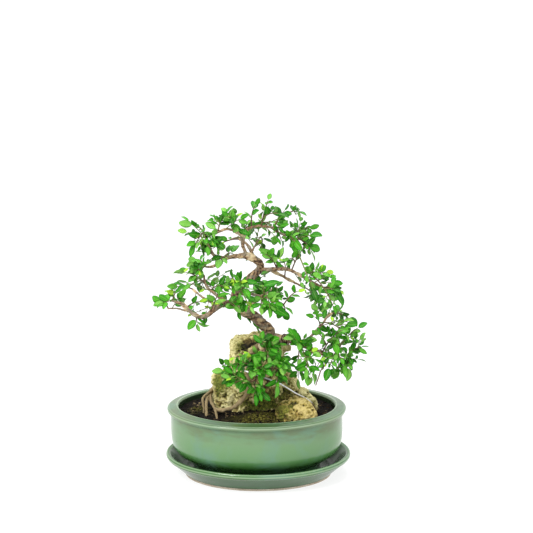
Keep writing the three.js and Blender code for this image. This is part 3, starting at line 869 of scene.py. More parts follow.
    def grow_moss(self, shell: Shell) -> None:
        """Set tufts of moss where the soil is mossy, as stars of pointed leaves.

        Args:
            shell: The soil's mesh.
        """
        number = np.arange(self.tufts * 6)
        places = self.spots(number, 21, 0.95)
        mossy = self.moss_at(places) > 0.25 + 0.5 * draw(number, 22, 1)
        leaves = np.arange(7)
        side = unit(np.cross(UP, [0.31, 0.95, 0.1]))
        over = np.cross(UP, side)
        faces = np.concatenate([leaves[:, None] * 4 + corners
                                for corners in ([0, 1, 2], [1, 3, 2], [3, 0, 2], [0, 3, 1])])
        for i in number[mossy][:self.tufts]:
            foot = places[i] + [POT_X, 0, 0]
            around = (leaves + draw(i, 23, 1)) / len(leaves) * FULL_TURN
            spread = np.cos(around)[:, None] * side + np.sin(around)[:, None] * over
            long = 0.9 + 1.5 * draw(leaves, i, 24)[:, None]
            tips = foot + spread * long * 0.8 + UP * long
            wide = np.cross(spread, UP) * 0.28
            points = np.stack([foot + wide, foot - wide, tips, foot - 0.4 * UP + 0 * tips], axis=1)
            shell.add(points.reshape(-1, 3), (faces,), tone=0.6, moss=1.0)


@dataclass(frozen=True)
class Spot:
    """A hollow or a patch of a stone."""

    x: float  # its centre's place to the right
    y: float  # its centre's place to the back
    z: float  # its centre's height
    wide: float  # how far it reaches
    much: float  # how deep the hollow goes in, or how much paler the patch is
    moss: float = 0.0  # how much mossier it is

    def near(self, points: Array) -> Array:
        """How near points are to it.

        Args:
            points: The points as rows of three.

        Returns:
            Values from 0 at its ragged edge to 1 well within it.
        """
        ragged = 0.35 * noise(points, 6, 6) + 0.3 * noise(points, 2.6, 7)
        gap = np.linalg.norm(points - [self.x, self.y, self.z], axis=1) + self.wide * ragged
        return step_up(self.wide, self.wide * 0.35, gap)


@dataclass
class Stone:
    """A tufa stone of blocky lumps grown together, then pitted by water and overgrown."""

    name: str  # the CAD node's name
    lumps: str  # the centres and half sizes of its lumps, as rows of numbers
    hollows: str = ""  # its hollows, dented in and painted dark as painted shade, as rows of numbers
    patches: str = ""  # its paler, darker and mossier patches, partly the stone's own tone and moss and partly painted light and shade, as rows of numbers
    mossy: float = 0.5  # how much moss it bears, from 0 to 1
    finish: MossyTufa = MossyTufa()  # what it is made of
    voxel: float = 1.1  # fineness of its mesh
    bury: float = 79.0  # height of its flat underside in the soil

    def block(self) -> Object:
        """Join the lumps as one closed, evenly meshed body.

        Returns:
            The object, not yet evaluated.
        """
        mesh = bpy.data.meshes.new("lumps")
        body = bmesh.new()
        for index, row in enumerate(rows_of(self.lumps)):
            ball = bmesh.ops.create_icosphere(body, subdivisions=5, radius=1)["verts"]
            d = np.array([v.co for v in ball], float)
            wave = (np.sin(3.1 * d[:, 0] + 2.3 * index) * np.cos(2.7 * d[:, 1] - index)
                    + np.sin(4.3 * d[:, 2] + d[:, 0] * 2))
            square = (d ** 4).sum(axis=1) ** 0.25
            swell = (0.96 + 0.09 * wave) / square ** 0.7
            places = np.array(row[:3]) + d * row[3:] * swell[:, None]
            places[:, 2] = np.maximum(places[:, 2], self.bury)
            for vertex, place in zip(ball, places):
                vertex.co = place
        body.to_mesh(mesh)
        body.free()
        made = put("lumps", mesh)
        remesh = made.modifiers.new("even", "REMESH")
        remesh.mode = "VOXEL"
        remesh.voxel_size = self.voxel
        return made

    def build(self) -> Object:
        """Make the stone, pit it and dress it.

        Returns:
            The object.
        """
        block = self.block()
        even = block.evaluated_get(bpy.context.evaluated_depsgraph_get()).to_mesh()
        points, out = np.empty(len(even.vertices) * 3), np.empty(len(even.vertices) * 3)
        quads = np.empty(len(even.loops), int)
        even.vertices.foreach_get("co", points)
        even.vertices.foreach_get("normal", out)
        even.loops.foreach_get("vertex_index", quads)
        points, out = points.reshape(-1, 3), out.reshape(-1, 3)
        seed = len(rows_of(self.lumps))
        swell = rough(points, 19, 3, seed)
        folds = 1 - 2 * np.abs(rough(points * [1, 1, 0.8], 11, 3, seed + 4))
        crags = 1 - 2 * np.abs(rough(points, 4.5, 2, seed + 5))
        pits = step_up(0.15, 0.6, noise(points, 4.2, seed + 8))
        pores = step_up(0.15, 0.6, noise(points, 2.5, seed + 9))
        grain = noise(points, 1.9, seed + 2)
        # Hollows are dented in and marked for painted shade, a dark colour and more moss.
        dark = np.zeros(len(points))
        for hollow in [Spot(*row) for row in rows_of(self.hollows)]:
            inside = hollow.near(points)
            dark = np.maximum(dark, inside)
            points = points - out * (inside * hollow.much)[:, None]
        lift = 2.2 * swell + 1.5 * folds + 1.5 * crags - 2.0 * pits - 1.1 * pores + 0.6 * grain - 0.4
        grown = step_up(self.bury, self.bury + 3, points[:, 2])
        points = points + out * (lift * grown)[:, None]
        # Colour by relief: pits, pores and hollows painted dark as painted shade.
        crest = 0.56 + 0.2 * swell + 0.22 * folds + 0.3 * crags - 0.5 * pits - 0.4 * pores - 0.6 * dark
        # Painted light: faces turned upward are painted paler.
        crest += 0.12 * out[:, 2]
        moss = self.mossy * (0.5 + 0.7 * rough(points, 15, 3, seed + 6) + 0.5 * dark)
        # Patches: partly the stone's own tone and moss, partly painted light and painted shade.
        for patch in [Spot(*row) for row in rows_of(self.patches)]:
            inside = patch.near(points)
            crest += patch.much * inside
            moss += patch.moss * inside
        shell = Shell()
        shell.add(points, (quads.reshape(-1, 4),), crest=crest, moss=np.clip(moss, 0, 1))
        bpy.data.objects.remove(block)
        return shell.piece(self.name + "_stone", [self.finish.make()], "rock", (self.name,))


STONES = (
    Stone("rock_main", "-11 13 157 29 26 29, 8 12 162 24 24 27, -37 10 106 26 24 33, 29 22 104 25 24 38, "
          "-2 4 108 36 27 42, 33 9 172 8 8 6",
          "-20 -11 182 17 6, -8 -10 185 14 5, -27 -13 165 7 4, -41 -4 188 13 5, -56 -10 109 8 6, "
          "-48 -16 103 5 3, 12 -24 101 18 5, 2 -24 116 12 4, -14 -22 97 10 3, -30 -22 112 8 4, "
          "-36 -20 93 6 3, -24 -24 88 6 3",
          "-37 -4 163 13 .4 -.3, -20 -15 161 14 .5 -.5, -16 -7 187 23 -.6 -.3, -36 -2 178 9 .3, "
          "-50 -8 127 19 -.12 .55, -42 -20 102 17 .4 -.2, -12 -25 112 17 -.25 .3, 12 -26 106 27 -.5 .25, "
          "42 -2 128 18 -.12 .15, 40 -8 106 20 -.4 .2, 12 -22 140 22 -.3, 12 -28 88 26 -.3 .55, "
          "-12 -27 86 16 -.25 .4", 0.6),
    Stone("rock_front", "47 -38 86 25 18 23, 57 -35 91 18 15 22",
          "30 -48 97 7 3, 43 -50 106 5 2, 38 -54 96 4 2",
          "33 -46 104 21 -.35 .55, 62 -48 98 18 .1 -.2", 0.5,
          MossyTufa("yellow_tufa_limestone", "0 #161006, .25 #3f350f, .45 #6f6228, .7 #98873f, 1 #c2b070",
                    "#5a5e17", "#a3763a")),
    Stone("rock_slab", "60 12 98 8 13 15, 69 5 91 9 12 14", "",
          "60 -2 100 15 -.35 .3, 72 -8 96 9 .25", 0.6),
)


@dataclass(frozen=True)
class Limb:
    """A woody part of the tree: a branch, the trunk or a root."""

    name: str  # its name, by which leafy sprays find it
    base: float  # its radius where it starts
    tip: float  # its radius where it ends
    marks: str  # points of its centre line

    def path(self) -> Path:
        """The limb's centre line."""
        return Path.through(self.marks)


# The trunk and branches
LIMBS = (
    Limb("trunk", 8.2, 4.4, "10 8 174, 12 8 184, 14 6 195, 5 3 205, -4 0 215, -15 -4 222, -25 -6 231, "
         "-30 -4 243, -25 2 254, -10 8 266, -1 10 274, 3 10 280, 1 8 287, -7 6 293, -17 5 297"),
    Limb("topLeft", 3.4, 1.3, "-17 5 297, -31 4 296, -43 0 295, -51 -4 297, -58 -6 300, -62 -8 308, "
         "-65 -10 317, -67 -12 326"),
    Limb("topLeftLow", 2, 1.1, "-42 0 295, -51 6 287, -59 12 281, -67 16 279, -80 20 281"),
    Limb("leader", 2.1, 1.5, "-16 5 297, -18 2 306, -21 0 315, -21 -2 328, -12 -3 335, -1 -2 338, "
         "8 0 337, 17 3 335, 24 6 329, 32 8 325, 43 8 322, 52 6 319"),
    Limb("leaderRight", 1.7, 1.1, "19 4 333, 27 8 345, 35 12 349, 42 14 353"),
    Limb("leaderLeft", 2, 1.3, "-21 -2 327, -28 -8 331, -35 -12 335, -43 -14 336, -54 -18 332"),
    Limb("shoot", 1.5, 1, "-11 6 295, -7 8 304, -3 12 310, 2 18 318"),
    Limb("upperRight", 3, 1.4, "2 10 278, 9 8 277, 18 4 279, 27 0 280, 40 -4 280, 56 -8 273, 67 -10 267, "
         "85 -12 258"),
    Limb("upperRightLow", 2, 1.3, "18 4 278, 25 9 272, 33 14 267, 44 20 259, 60 28 249"),
    Limb("leftLow", 4.8, 1.5, "-26 -5 234, -33 -8 236, -42 -10 236, -51 -12 233, -59 -16 228, "
         "-67 -20 222, -75 -23 221, -83 -26 225, -91 -29 232, -98 -32 240, -104 -34 243, -112 -36 246"),
    Limb("leftThin", 1.4, 1, "-89 -28 230, -96 -24 230, -106 -18 231, -118 -14 230"),
    Limb("leftMid", 2.6, 1.4, "-41 -9 235, -48 -4 240, -57 2 246, -65 8 251, -70 12 258, -72 16 268"),
    Limb("centre", 2, 1.2, "-25 2 251, -11 -10 249, 5 -16 247, 21 -18 243, 31 -18 238"),
    Limb("rightLow", 6.2, 1.8, "12 8 183, 20 7 185, 30 2 185, 44 -4 184, 58 -8 181, 67 -10 176, "
         "74 -10 171, 83 -8 168, 94 -4 164, 103 0 160, 114 4 155"),
    Limb("rightUp", 2.2, 1.2, "58 -8 181, 67 -2 186, 76 6 194, 85 12 202, 91 16 210, 98 20 215"),
    Limb("bareTwig", 1.1, 0.8, "92 -4 165, 91 -8 155, 83 -12 145, 80 -15 137, 76 -18 126"),
    Limb("frontLow", 3.2, 1.3, "8 6 181, 3 -8 180, 5 -20 178, 9 -28 174, 13 -34 170, 17 -38 166, "
         "18 -42 160, 16 -46 154, 10 -50 151, 6 -52 148, -3 -56 145, -12 -58 143"),
    Limb("backHigh", 2.6, 1.3, "-7 6 293, -10 24 300, -16 46 304, -26 66 306"),
    Limb("backLow", 3.2, 1.4, "-15 -4 222, -8 22 226, 4 48 231, 20 70 236"),
    Limb("backMid", 1.7, 1.1, "-20 1 310, -18 20 319, -12 38 326"),
    Limb("backLeft", 2.4, 1.3, "-50 -12 233, -60 8 232, -74 30 234, -88 52 240"),
)

# Roots that run down over the rock into the soil
ROOTS = (
    Limb("rootLong", 3.6, 2.2, "8 4 180, -4 -13 176, -11 -22 166, -14 -26 152, -13 -27 136, -14 -28 121, "
         "-22 -33 110, -34 -36 101, -48 -33 97, -58 -27 97"),
    Limb("rootLeft", 3.6, 1.8, "8 8 178, -4 28 177, -18 40 168, -27 42 154, -34 40 140, -46 36 126, "
         "-57 27 114, -65 12 107, -68 -4 102, -69 -16 97, -68 -27 91, -68 -35 79"),
    Limb("rootArch", 2.2, 1.5, "-60 16 112, -67 4 109, -72 -4 107, -74 -9 103, -73 -12 97, -72 -14 91, "
         "-74 -15 78"),
    Limb("rootThree", 2.2, 1.6, "-64 6 106, -63 -8 101, -59 -20 98, -56 -31 94, -52 -46 79"),
    Limb("rootBack", 3.8, 1.8, "14 10 178, 17 28 175, 18 36 163, 15 35 146, 13 34 130, 10 36 112, "
         "4 38 96, -2 42 79"),
)

# Leafy sprays: the limb that bears each, how far along it, and where its twigs end with how full
# each twig is, from 0 to 4
SPRAYS = (
    ("topLeft", 1, "-93 -16 350 1, -87 -30 311 3, -62 -38 310 2"),
    ("topLeft", 0.86, "-59 -34 328 2, -50 12 306 1"),
    ("topLeft", 0.37, "-52 -28 298 0, -29 36 293 1"),
    ("topLeftLow", 0.8, "-89 34 292 1, -84 -8 258 0"),
    ("leaderLeft", 0.86, "-68 -26 337 0, -42 4 354 4"),
    ("leaderLeft", 0.4, "-29 -18 367 2, -43 -44 363 1"),
    ("leader", 0.3, "-1 12 343 2"),
    ("leader", 0.42, "-2 -4 377 0"),
    ("leader", 0.53, "16 4 382 2, 35 -18 361 0"),
    ("leader", 0.73, "30 -28 344 1, 33 26 306 1"),
    ("leader", 0.85, "52 -30 321 2"),
    ("leader", 0.93, "76 12 339 2, 56 46 315 3"),
    ("leader", 1, "77 -4 299 2"),
    ("leaderRight", 1, "61 22 352 1"),
    ("backMid", 1, "4 64 323 1, 34 52 333 1"),
    ("shoot", 1, "9 36 303 1"),
    ("upperRight", 0.27, "4 -24 312 1"),
    ("upperRight", 0.49, "69 -4 323 0, 36 -28 304 0, 75 -34 251 2"),
    ("upperRight", 0.66, "94 -16 280 0"),
    ("upperRight", 0.79, "98 0 281 1, 103 -40 232 4"),
    ("upperRight", 1, "113 -16 247 3"),
    ("upperRightLow", 0.42, "33 56 285 1"),
    ("upperRightLow", 1, "87 32 218 3, 106 56 227 1"),
    ("leftMid", 1, "-89 19 287 2"),
    ("leftMid", 0.77, "-105 4 280 1"),
    ("leftMid", 0.56, "-37 -18 263 3"),
    ("leftLow", 0.95, "-132 -42 244 0, -105 -56 270 0"),
    ("leftThin", 1, "-133 -4 247 0"),
    ("leftLow", 0.72, "-112 -14 248 0, -66 -4 240 0"),
    ("leftLow", 0.6, "-79 -34 204 0"),
    ("leftLow", 0.42, "-49 -48 266 1"),
    ("leftLow", 0.17, "-25 -46 240 2"),
    ("backLeft", 1, "-123 66 240 1, -55 84 248 2"),
    ("trunk", 0.62, "-41 -34 279 3, -16 -44 262 4, -5 -46 232 2"),
    ("centre", 0.6, "12 -6 264 3, 2 -42 232 3, 18 -46 231 3"),
    ("centre", 1, "41 -16 219 0, 59 -28 264 0"),
    ("backHigh", 1, "-71 88 285 1, 2 90 300 3"),
    ("backLow", 1, "33 88 234 1, -15 94 225 3"),
    ("rightUp", 1, "131 18 206 1, 106 44 209 2"),
    ("rightUp", 0.6, "70 -8 224 0, 121 -16 195 3"),
    ("rightLow", 0.44, "50 -38 191 4, 52 -34 129 3, 74 -40 139 4"),
    ("rightLow", 0.7, "117 -26 212 2, 76 -38 207 0, 96 -32 187 2"),
    ("rightLow", 0.86, "139 0 209 2, 95 38 191 2, 88 -38 147 4"),
    ("rightLow", 1, "145 4 180 4, 117 -14 139 4"),
    ("frontLow", 0.4, "2 -44 207 2, 25 -46 187 3, 17 -60 169 4"),
    ("frontLow", 0.48, "-40 -54 175 1, -31 -68 157 4"),
    ("frontLow", 0.58, "40 -56 169 4, 26 -68 132 2, 31 -72 163 4"),
    ("frontLow", 0.68, "-42 -70 172 3, 1 -78 155 4"),
    ("frontLow", 0.9, "-4 -74 121 3, -42 -74 146 4"),
    ("frontLow", 1, "-55 -64 165 4"),
)

# Small leafy shoots: the spray that each goes with, how far along its limb it grows, and how far it
# reaches
SPURS = ("0 .95 -25 0 9, 0 .95 -24 14 20, 2 .37 -29 -14 11, 2 .58 -19 -11 -16, 3 .93 -17 8 -6, "
         "4 .68 19 -11 16, 5 .6 13 -6 0, 8 .55 29 14 11, 8 .57 14 -8 -12, 12 .99 4 -11 24, "
         "12 .99 7 0 -12, 12 .99 17 -8 6, 13 .18 12 -11 21, 15 .61 6 0 33, 15 .71 24 -14 -20, "
         "16 .23 -19 11 -16, 17 .52 14 0 -23, 19 .75 9 -8 16, 19 .85 19 0 7, 24 .72 24 -14 20, "
         "24 .72 25 0 -9, 25 .5 -32 0 12, 25 .56 -6 0 -33, 27 .83 9 -8 16, 30 .32 12 -6 4, "
         "31 .14 21 0 -17, 32 .12 -32 0 -12, 32 .88 -4 11 -24, 33 .37 12 11 -21, 33 .87 -19 0 7, "
         "35 .8 6 -6 11, 35 .85 13 6 0, 38 .85 -10 6 8, 39 .6 29 -14 11, 39 .8 12 11 21, 41 .63 12 6 4, "
         "41 .73 -16 -14 -27, 43 .97 20 0 0, 46 .54 29 14 -11")

# Large leaves: the spray that each goes with, how far along its limb its twig grows, and where the leaf
# starts and ends
LARGE_LEAVES = (
    (16, 0.27, "25 0 292, 2 -3 309"), (16, 0.27, "25 0 292, 33 2 309"), (16, 0.27, "23 0 291, 10 -6 291"),
    (35, 0.8, "15 -30 239, 39 -38 226"), (34, 0.6, "6 -28 264, 27 -34 271"),
    (40, 0.4, "56 -26 180, 41 -30 207"), (40, 0.4, "58 -26 181, 72 -32 193"),
    (43, 0.92, "105 -16 148, 87 -22 142"), (43, 0.92, "113 -16 156, 116 -24 137"),
)


@dataclass
class Wood:
    """The trunk, its branches and the roots over the rock, with twisted and knotted bark."""

    ridges: float = 0.6  # wrinkles that wind up the bark side by side, for each millimetre of its radius
    pitch: float = 8.0  # distance along the bark from wrinkle to wrinkle
    flare: float = 0.5  # how much thicker a limb is where it leaves another
    step: float = 0.9  # length of one facet along the bark
    skin: float = 1.7  # how smooth and washed the roots are

    def relief(self, limb: Limb, seed: int, root: bool) -> Callable:
        """How far a limb's bark stands out.

        Args:
            limb: The limb.
            seed: Another number gives another bark.
            root: Whether it is a smoother root.

        Returns:
            A function of points, distances along the limb and shares of a turn round it.
        """
        deep = 0.16 + 0.045 * limb.base
        ridges = round(self.ridges * limb.base)

        def stands_out(points: Array, along: Array, turn: Array) -> Array:
            """Wrinkles that wind up the bark, broken up by noise, with knots and a fine grain.

            Args:
                points: Points of the bark.
                along: Their distances along the limb.
                turn: Their shares of a turn round it.

            Returns:
                How far each stands out.
            """
            twist = FULL_TURN * (along / self.pitch + turn * ridges) + 2.4 * noise(points, 7, seed)
            knots = step_up(0.1, 0.9, noise(points, 11, seed + 3)) - 0.2
            grain = noise(points, 2.0, seed + 1)
            broken = 0.5 + 0.5 * step_up(-0.4, 0.4, noise(points, 6, seed + 5))
            bands = 2.6 * np.abs(np.sin(twist / 2)) ** 0.6 - 1.6
            return deep * (broken * bands + 0.8 * grain + (4.5 if root else 3.2) * knots)

        return stands_out

    def build(self) -> Object:
        """Make the tree's wood.

        Returns:
            The object.
        """
        shell = Shell()
        for seed, limb in enumerate(LIMBS + ROOTS):
            path = limb.path()
            root = limb in ROOTS
            base = limb.base * (1.0 if root or seed == 0 else 1 + self.flare)

            def radius(share: Array) -> Array:
                """Taper from base to tip, with a flare at the base."""
                even = limb.base + (limb.tip - limb.base) * share
                return even + (base - limb.base) * np.exp(-share * path.length / 4.5)

            thick = limb.base > 2.5
            sides = 36 if limb.base > 5 else 18 if thick else 10
            steps = max(8, round(path.length / (self.step if thick else 2 * self.step)))
            shell.tube(path, radius, sides, steps, 0, self.relief(limb, seed, root),
                       skin=self.skin if root else 0.0)
        return shell.piece("tree_trunk_and_roots", [Bark().make()], "bark", ("tree_wood",))


class Stage(Enum):
    """How old a leaf is: its size and how green it is."""

    GROWN = (1.0, 0.0)
    YOUNG = (0.78, 0.5)


@dataclass
class Spray:
    """A leafy spray: twigs with leaves to their left and right in turn, and one at each end."""

    number: int  # its number, by which it has its own random numbers
    long: float = 16.8  # length of a leaf
    spread: float = 5.5  # how much longer or shorter a leaf may be
    # A leaf's width, as a share of its length, and then a large leaf's
    wide: tuple[float, float] = (0.54, 0.4)
    point: tuple[float, float] = (0.7, 0.9)  # how pointed a leaf is, and then a large leaf
    young: float = 0.12  # share of the leaves that are young
    thick: float = 0.45  # a leaf's thickness at its rib
    fold: float = 0.3  # how far its edges rise, as a share of its half width
    droop: float = 0.17  # how far its tip hangs, as a share of its length
    teeth: int = 8  # teeth along each edge
    stalk: float = 1.6  # length of its stalk
    sites: tuple[float, ...] = (0.36, 0.58, 0.8)  # shares of a twig where its leaves grow
    # Shares where the finer leaves between them grow on a full twig
    more: tuple[float, ...] = (0.25, 0.47, 0.69, 0.9)
    short_sites: tuple[float, ...] = (0.3, 0.62, 0.85)  # shares of a side twig where its leaves grow
    # Shares where side twigs grow, by how full the twig is
    forks: tuple[tuple[float, ...], ...] = ((), (), (0.52,), (0.38, 0.7), (0.3, 0.5, 0.68, 0.86))

    def __post_init__(self) -> None:
        """Start its mesh and lay out the points and faces that each leaf has."""
        self.shell = Shell()
        rows, columns = 2 * self.teeth + 1, 5
        self.u = np.repeat(np.linspace(0, 1, rows), columns)
        self.v = np.tile(np.linspace(-1, 1, columns), rows)
        self.inner = np.abs(self.v) < 0.9
        self.tooth = np.where(self.inner, 1, 1 + 0.05 * (np.arange(rows * columns) // columns % 2))
        grid = np.arange(rows * columns).reshape(rows, columns)
        under = grid.copy()
        under[:, 1:-1] = rows * columns + np.arange(rows * (columns - 2)).reshape(rows, -1)
        top, low = [np.stack([k[:-1, :-1], k[:-1, 1:], k[1:, 1:], k[1:, :-1]], -1).reshape(-1, 4)
                    for k in (grid, under)]
        ends = [np.concatenate([grid[row], under[row, -2:0:-1]]) for row in (0, -1)]
        self.faces = top, low[:, ::-1], np.array([ends[0][::-1], ends[1]])

    def luck(self, place: int, channel: int) -> float:
        """Repeatable random number from 0 to 1 for one feature of one leaf or twig."""
        return float(draw(self.number + 1, place + 1, channel + 1)[0])

    def side_way(self, tangent: Array, sign: int, roll: float, lift: float) -> Array:
        """Direction of a leaf that grows off a twig to one side, in a plane rolled round it.

        Args:
            tangent: The twig's direction.
            sign: Which side, 1 or -1.
            roll: How far the plane is rolled, in radians.
            lift: How much the leaf rises out of the plane.

        Returns:
            The direction.
        """
        level = np.cross(tangent, UP)
        level = unit(level) if np.linalg.norm(level) > 0.2 else np.array([1.0, 0.0, 0.0])
        over = unit(np.cross(level, tangent))
        out = level * (0.78 * sign * math.cos(roll) - lift * math.sin(roll))
        return unit(0.62 * tangent + out + over * (0.78 * sign * math.sin(roll) + lift * math.cos(roll)))

    def look(self, root: Array, place: int) -> Array:
        """Where a leaf's face would look: up, outward and to the front, a little at random.

        Args:
            root: Where the leaf grows.
            place: Its number on the spray.

        Returns:
            The direction.
        """
        look = 0.3 * unit(root * [1, 1, 0])
        look[2] = 0.45 + 1.1 * (self.luck(place, 5) - 0.5)
        look[0] += 1.5 * (self.luck(place, 3) - 0.5)
        look[1] += 1.5 * (self.luck(place, 4) - 0.5) - 0.6
        return look

    def leaf(self, root: Array, way: Array, place: int, share: float = 1.0, long: float = 0.0) -> None:
        """Add a leaf on its stalk.

        Args:
            root: Where its stalk leaves the twig.
            way: The direction that it points in.
            place: Its number on the spray.
            share: Its size against that of its neighbours.
            long: Its length, where it is a large leaf that faces the front.
        """
        large = long > 0
        stage = Stage.YOUNG if not large and self.luck(place, 7) > 1 - self.young else Stage.GROWN
        small, green = stage.value
        look = FRONT if large else self.look(root, place)
        side = unit(np.cross(way, unit(look - way * np.dot(look, way))))
        normal = np.cross(side, way)
        long = long or (self.long + self.spread * (self.luck(place, 6) - 0.5) * 2) * small * share
        start = root + way * self.stalk
        stalk = Path.arch(root - way * 0.3, root + way * 0.6 + [0, 0, 0.2], start + way * 0.4)
        self.shell.tube(stalk, lambda s: 0.34 - 0.1 * s, 5, 3, 1, tone=0.9)
        u, v, inner = self.u, self.v, self.inner
        width = self.wide[large] * (0.76 + 0.46 * self.luck(place, 8)) / 2
        lens = np.sin(math.pi * u ** 0.9) ** self.point[large]
        half = long * width * (0.06 + 0.94 * lens) * (u < 1) + 0.03
        curl = 0.25 * (self.luck(place, 9) - 0.4)
        wave = 0.025 * long * np.sin(u * 9 + 3 * self.luck(place, 11)) * np.abs(v)
        rise = self.fold * np.abs(v) * half - self.droop * long * u ** 2 + curl * half * v ** 2 + wave
        bend = 0.12 * long * (self.luck(place, 12) - 0.5) * u ** 2
        top = (start + np.outer(v * half * self.tooth + bend, side) + np.outer(u * long, way)
               + np.outer(rise, normal))
        sunk = self.thick * (1 - v ** 2) * (0.3 + 0.7 * np.sin(math.pi * u))
        low = top[inner] - np.outer(sunk[inner], normal)
        tone = 0.02 + 0.76 * self.luck(place, 13) + (1 - 0.5 * self.luck(place, 14)) * green
        self.shell.add(np.concatenate([top, low]), self.faces, 0, tone=tone,
                       along=np.concatenate([u, u[inner]]), across=np.concatenate([v, v[inner]]),
                       under=np.repeat([0.0, 1.0], [len(top), len(low)]))

    def twig(self, start: Array, tip: Array, full: int, order: int) -> Path:
        """Add an arching twig that ends a leaf's length short of the spray's tip, with its leaves.

        Args:
            start: Where it grows.
            tip: The spray's tip.
            full: How full of leaves it is, from 0 to 4.
            order: 0 for the first twig, 1 and up for those that fork off it.

        Returns:
            The twig's centre line.
        """
        reach = float(np.linalg.norm(tip - start))
        end = tip + (start - tip) * (self.long * 0.7 / reach)
        knee = (start + end) / 2
        knee[2] += reach * 0.16
        knee[0] += reach * 0.2 * (self.luck(order, 20) - 0.5)
        knee[1] += reach * 0.2 * (self.luck(order, 21) - 0.5)
        path = Path.arch(start, knee, end)
        self.shell.tube(path, lambda s: 1.05 - 0.5 * s, 7, 14, 1, tone=order * 0.2 + 0.15)
        roll = 2.4 * (self.luck(order, 22) - 0.5)
        first = order * 40
        for shares, lowest, turn, size, more in ((self.sites, first, roll, 0.82, 0.0),
                                                 (self.more[:2 * full], first + 5, roll + 1.2, 0.5, 0.3)):
            for place, share in enumerate(shares, lowest):
                lift = 0.7 * (self.luck(place, 1) - 0.35)
                way = self.side_way(path.way(share), 1 if (place + order) % 2 else -1, turn, lift)
                self.leaf(path.at(share), way, place, size + more * self.luck(place, 15))
        self.leaf(end, path.way(1.0), first + 10, 0.8)
        for j, share in enumerate(self.forks[full]):
            place, turn = first + 20 + 6 * j, roll + 2.1 * j
            foot = path.at(share)
            way = self.side_way(path.way(share), 1 if place % 4 else -1, turn + 0.6, 0.3)
            far = foot + way * (6 + 6 * self.luck(place, 16) + 0.08 * path.length)
            self.side_twig(foot, far, turn, place)
        return path

    def side_twig(self, start: Array, end: Array, roll: float, place: int) -> None:
        """Add a short leafy twig.

        Args:
            start: Where it grows.
            end: Where its last leaf grows.
            roll: How far the plane of its leaves is rolled, in radians.
            place: The number of its first leaf.
        """
        short = Path.arch(start, (start + end) / 2 + [0, 0, 1.5], end)
        self.shell.tube(short, lambda s: 0.65 - 0.25 * s, 6, 8, 1, tone=0.5)
        for j, site in enumerate(self.short_sites):
            off = self.side_way(short.way(site), 1 if j % 2 else -1, roll + 0.3, 0.1)
            self.leaf(short.at(site), off, place + j, 0.45 + 0.3 * self.luck(place + j, 15))
        self.leaf(end, short.way(1.0), place + 3, 0.7)

    def large_leaf(self, stem: Array, foot: Array, end: Array, place: int) -> None:
        """Add a large leaf at the end of a twig of its own.

        Args:
            stem: Where the twig grows.
            foot: Where the leaf starts.
            end: Where the leaf ends.
            place: The leaf's number.
        """
        stalk = Path.arch(stem, (stem + foot) / 2 + [1.0, -1.0, 0.0], foot)
        self.shell.tube(stalk, lambda s: 0.7 - 0.2 * s, 6, 8, 1, tone=0.5)
        reach = float(np.linalg.norm(end - foot))
        self.leaf(foot, unit(end - foot), place, long=reach - self.stalk)


@dataclass
class Foliage:
    """Every leafy spray of the tree."""

    fork: float = 0.3  # share of the first twig from where each further one forks
    first_spur: int = 200  # number of the first leaf on a spray's small shoots
    first_large: int = 400  # number of a spray's first large leaf

    def build(self) -> list[Object]:
        """Make every spray.

        Returns:
            The objects, in the order of their numbers.
        """
        paths = {limb.name: limb.path() for limb in LIMBS}
        finishes = [LeafTissue().make(), TwigBark().make()]
        spurs = rows_of(SPURS)
        counts: dict[str, int] = {}
        made = []
        for number, (limb, share, tips) in enumerate(SPRAYS):
            spray = Spray(number)
            start, first = paths[limb].at(share), None
            for order, (*tip, full) in enumerate(rows_of(tips)):
                foot = first.at(self.fork * order) if first else start
                path = spray.twig(foot, np.array(tip), int(full), order)
                first = first or path
            for order, (bearer, along, *reach) in enumerate(spurs):
                if bearer == number:
                    foot = paths[limb].at(along)
                    roll = 2.4 * (spray.luck(order, 23) - 0.5)
                    spray.side_twig(foot, foot + reach, roll, self.first_spur + 4 * order)
            for order, (bearer, along, leaf) in enumerate(LARGE_LEAVES):
                if bearer == number:
                    ends = np.array(rows_of(leaf))
                    spray.large_leaf(paths[limb].at(along), *ends, self.first_large + order)
            counts[limb] = counts.get(limb, 0) + 1
            node = f"spray_{limb}_{counts[limb]}"
            made.append(spray.shell.piece("leafy_" + node, finishes, "leaf", (node,)))
        return made


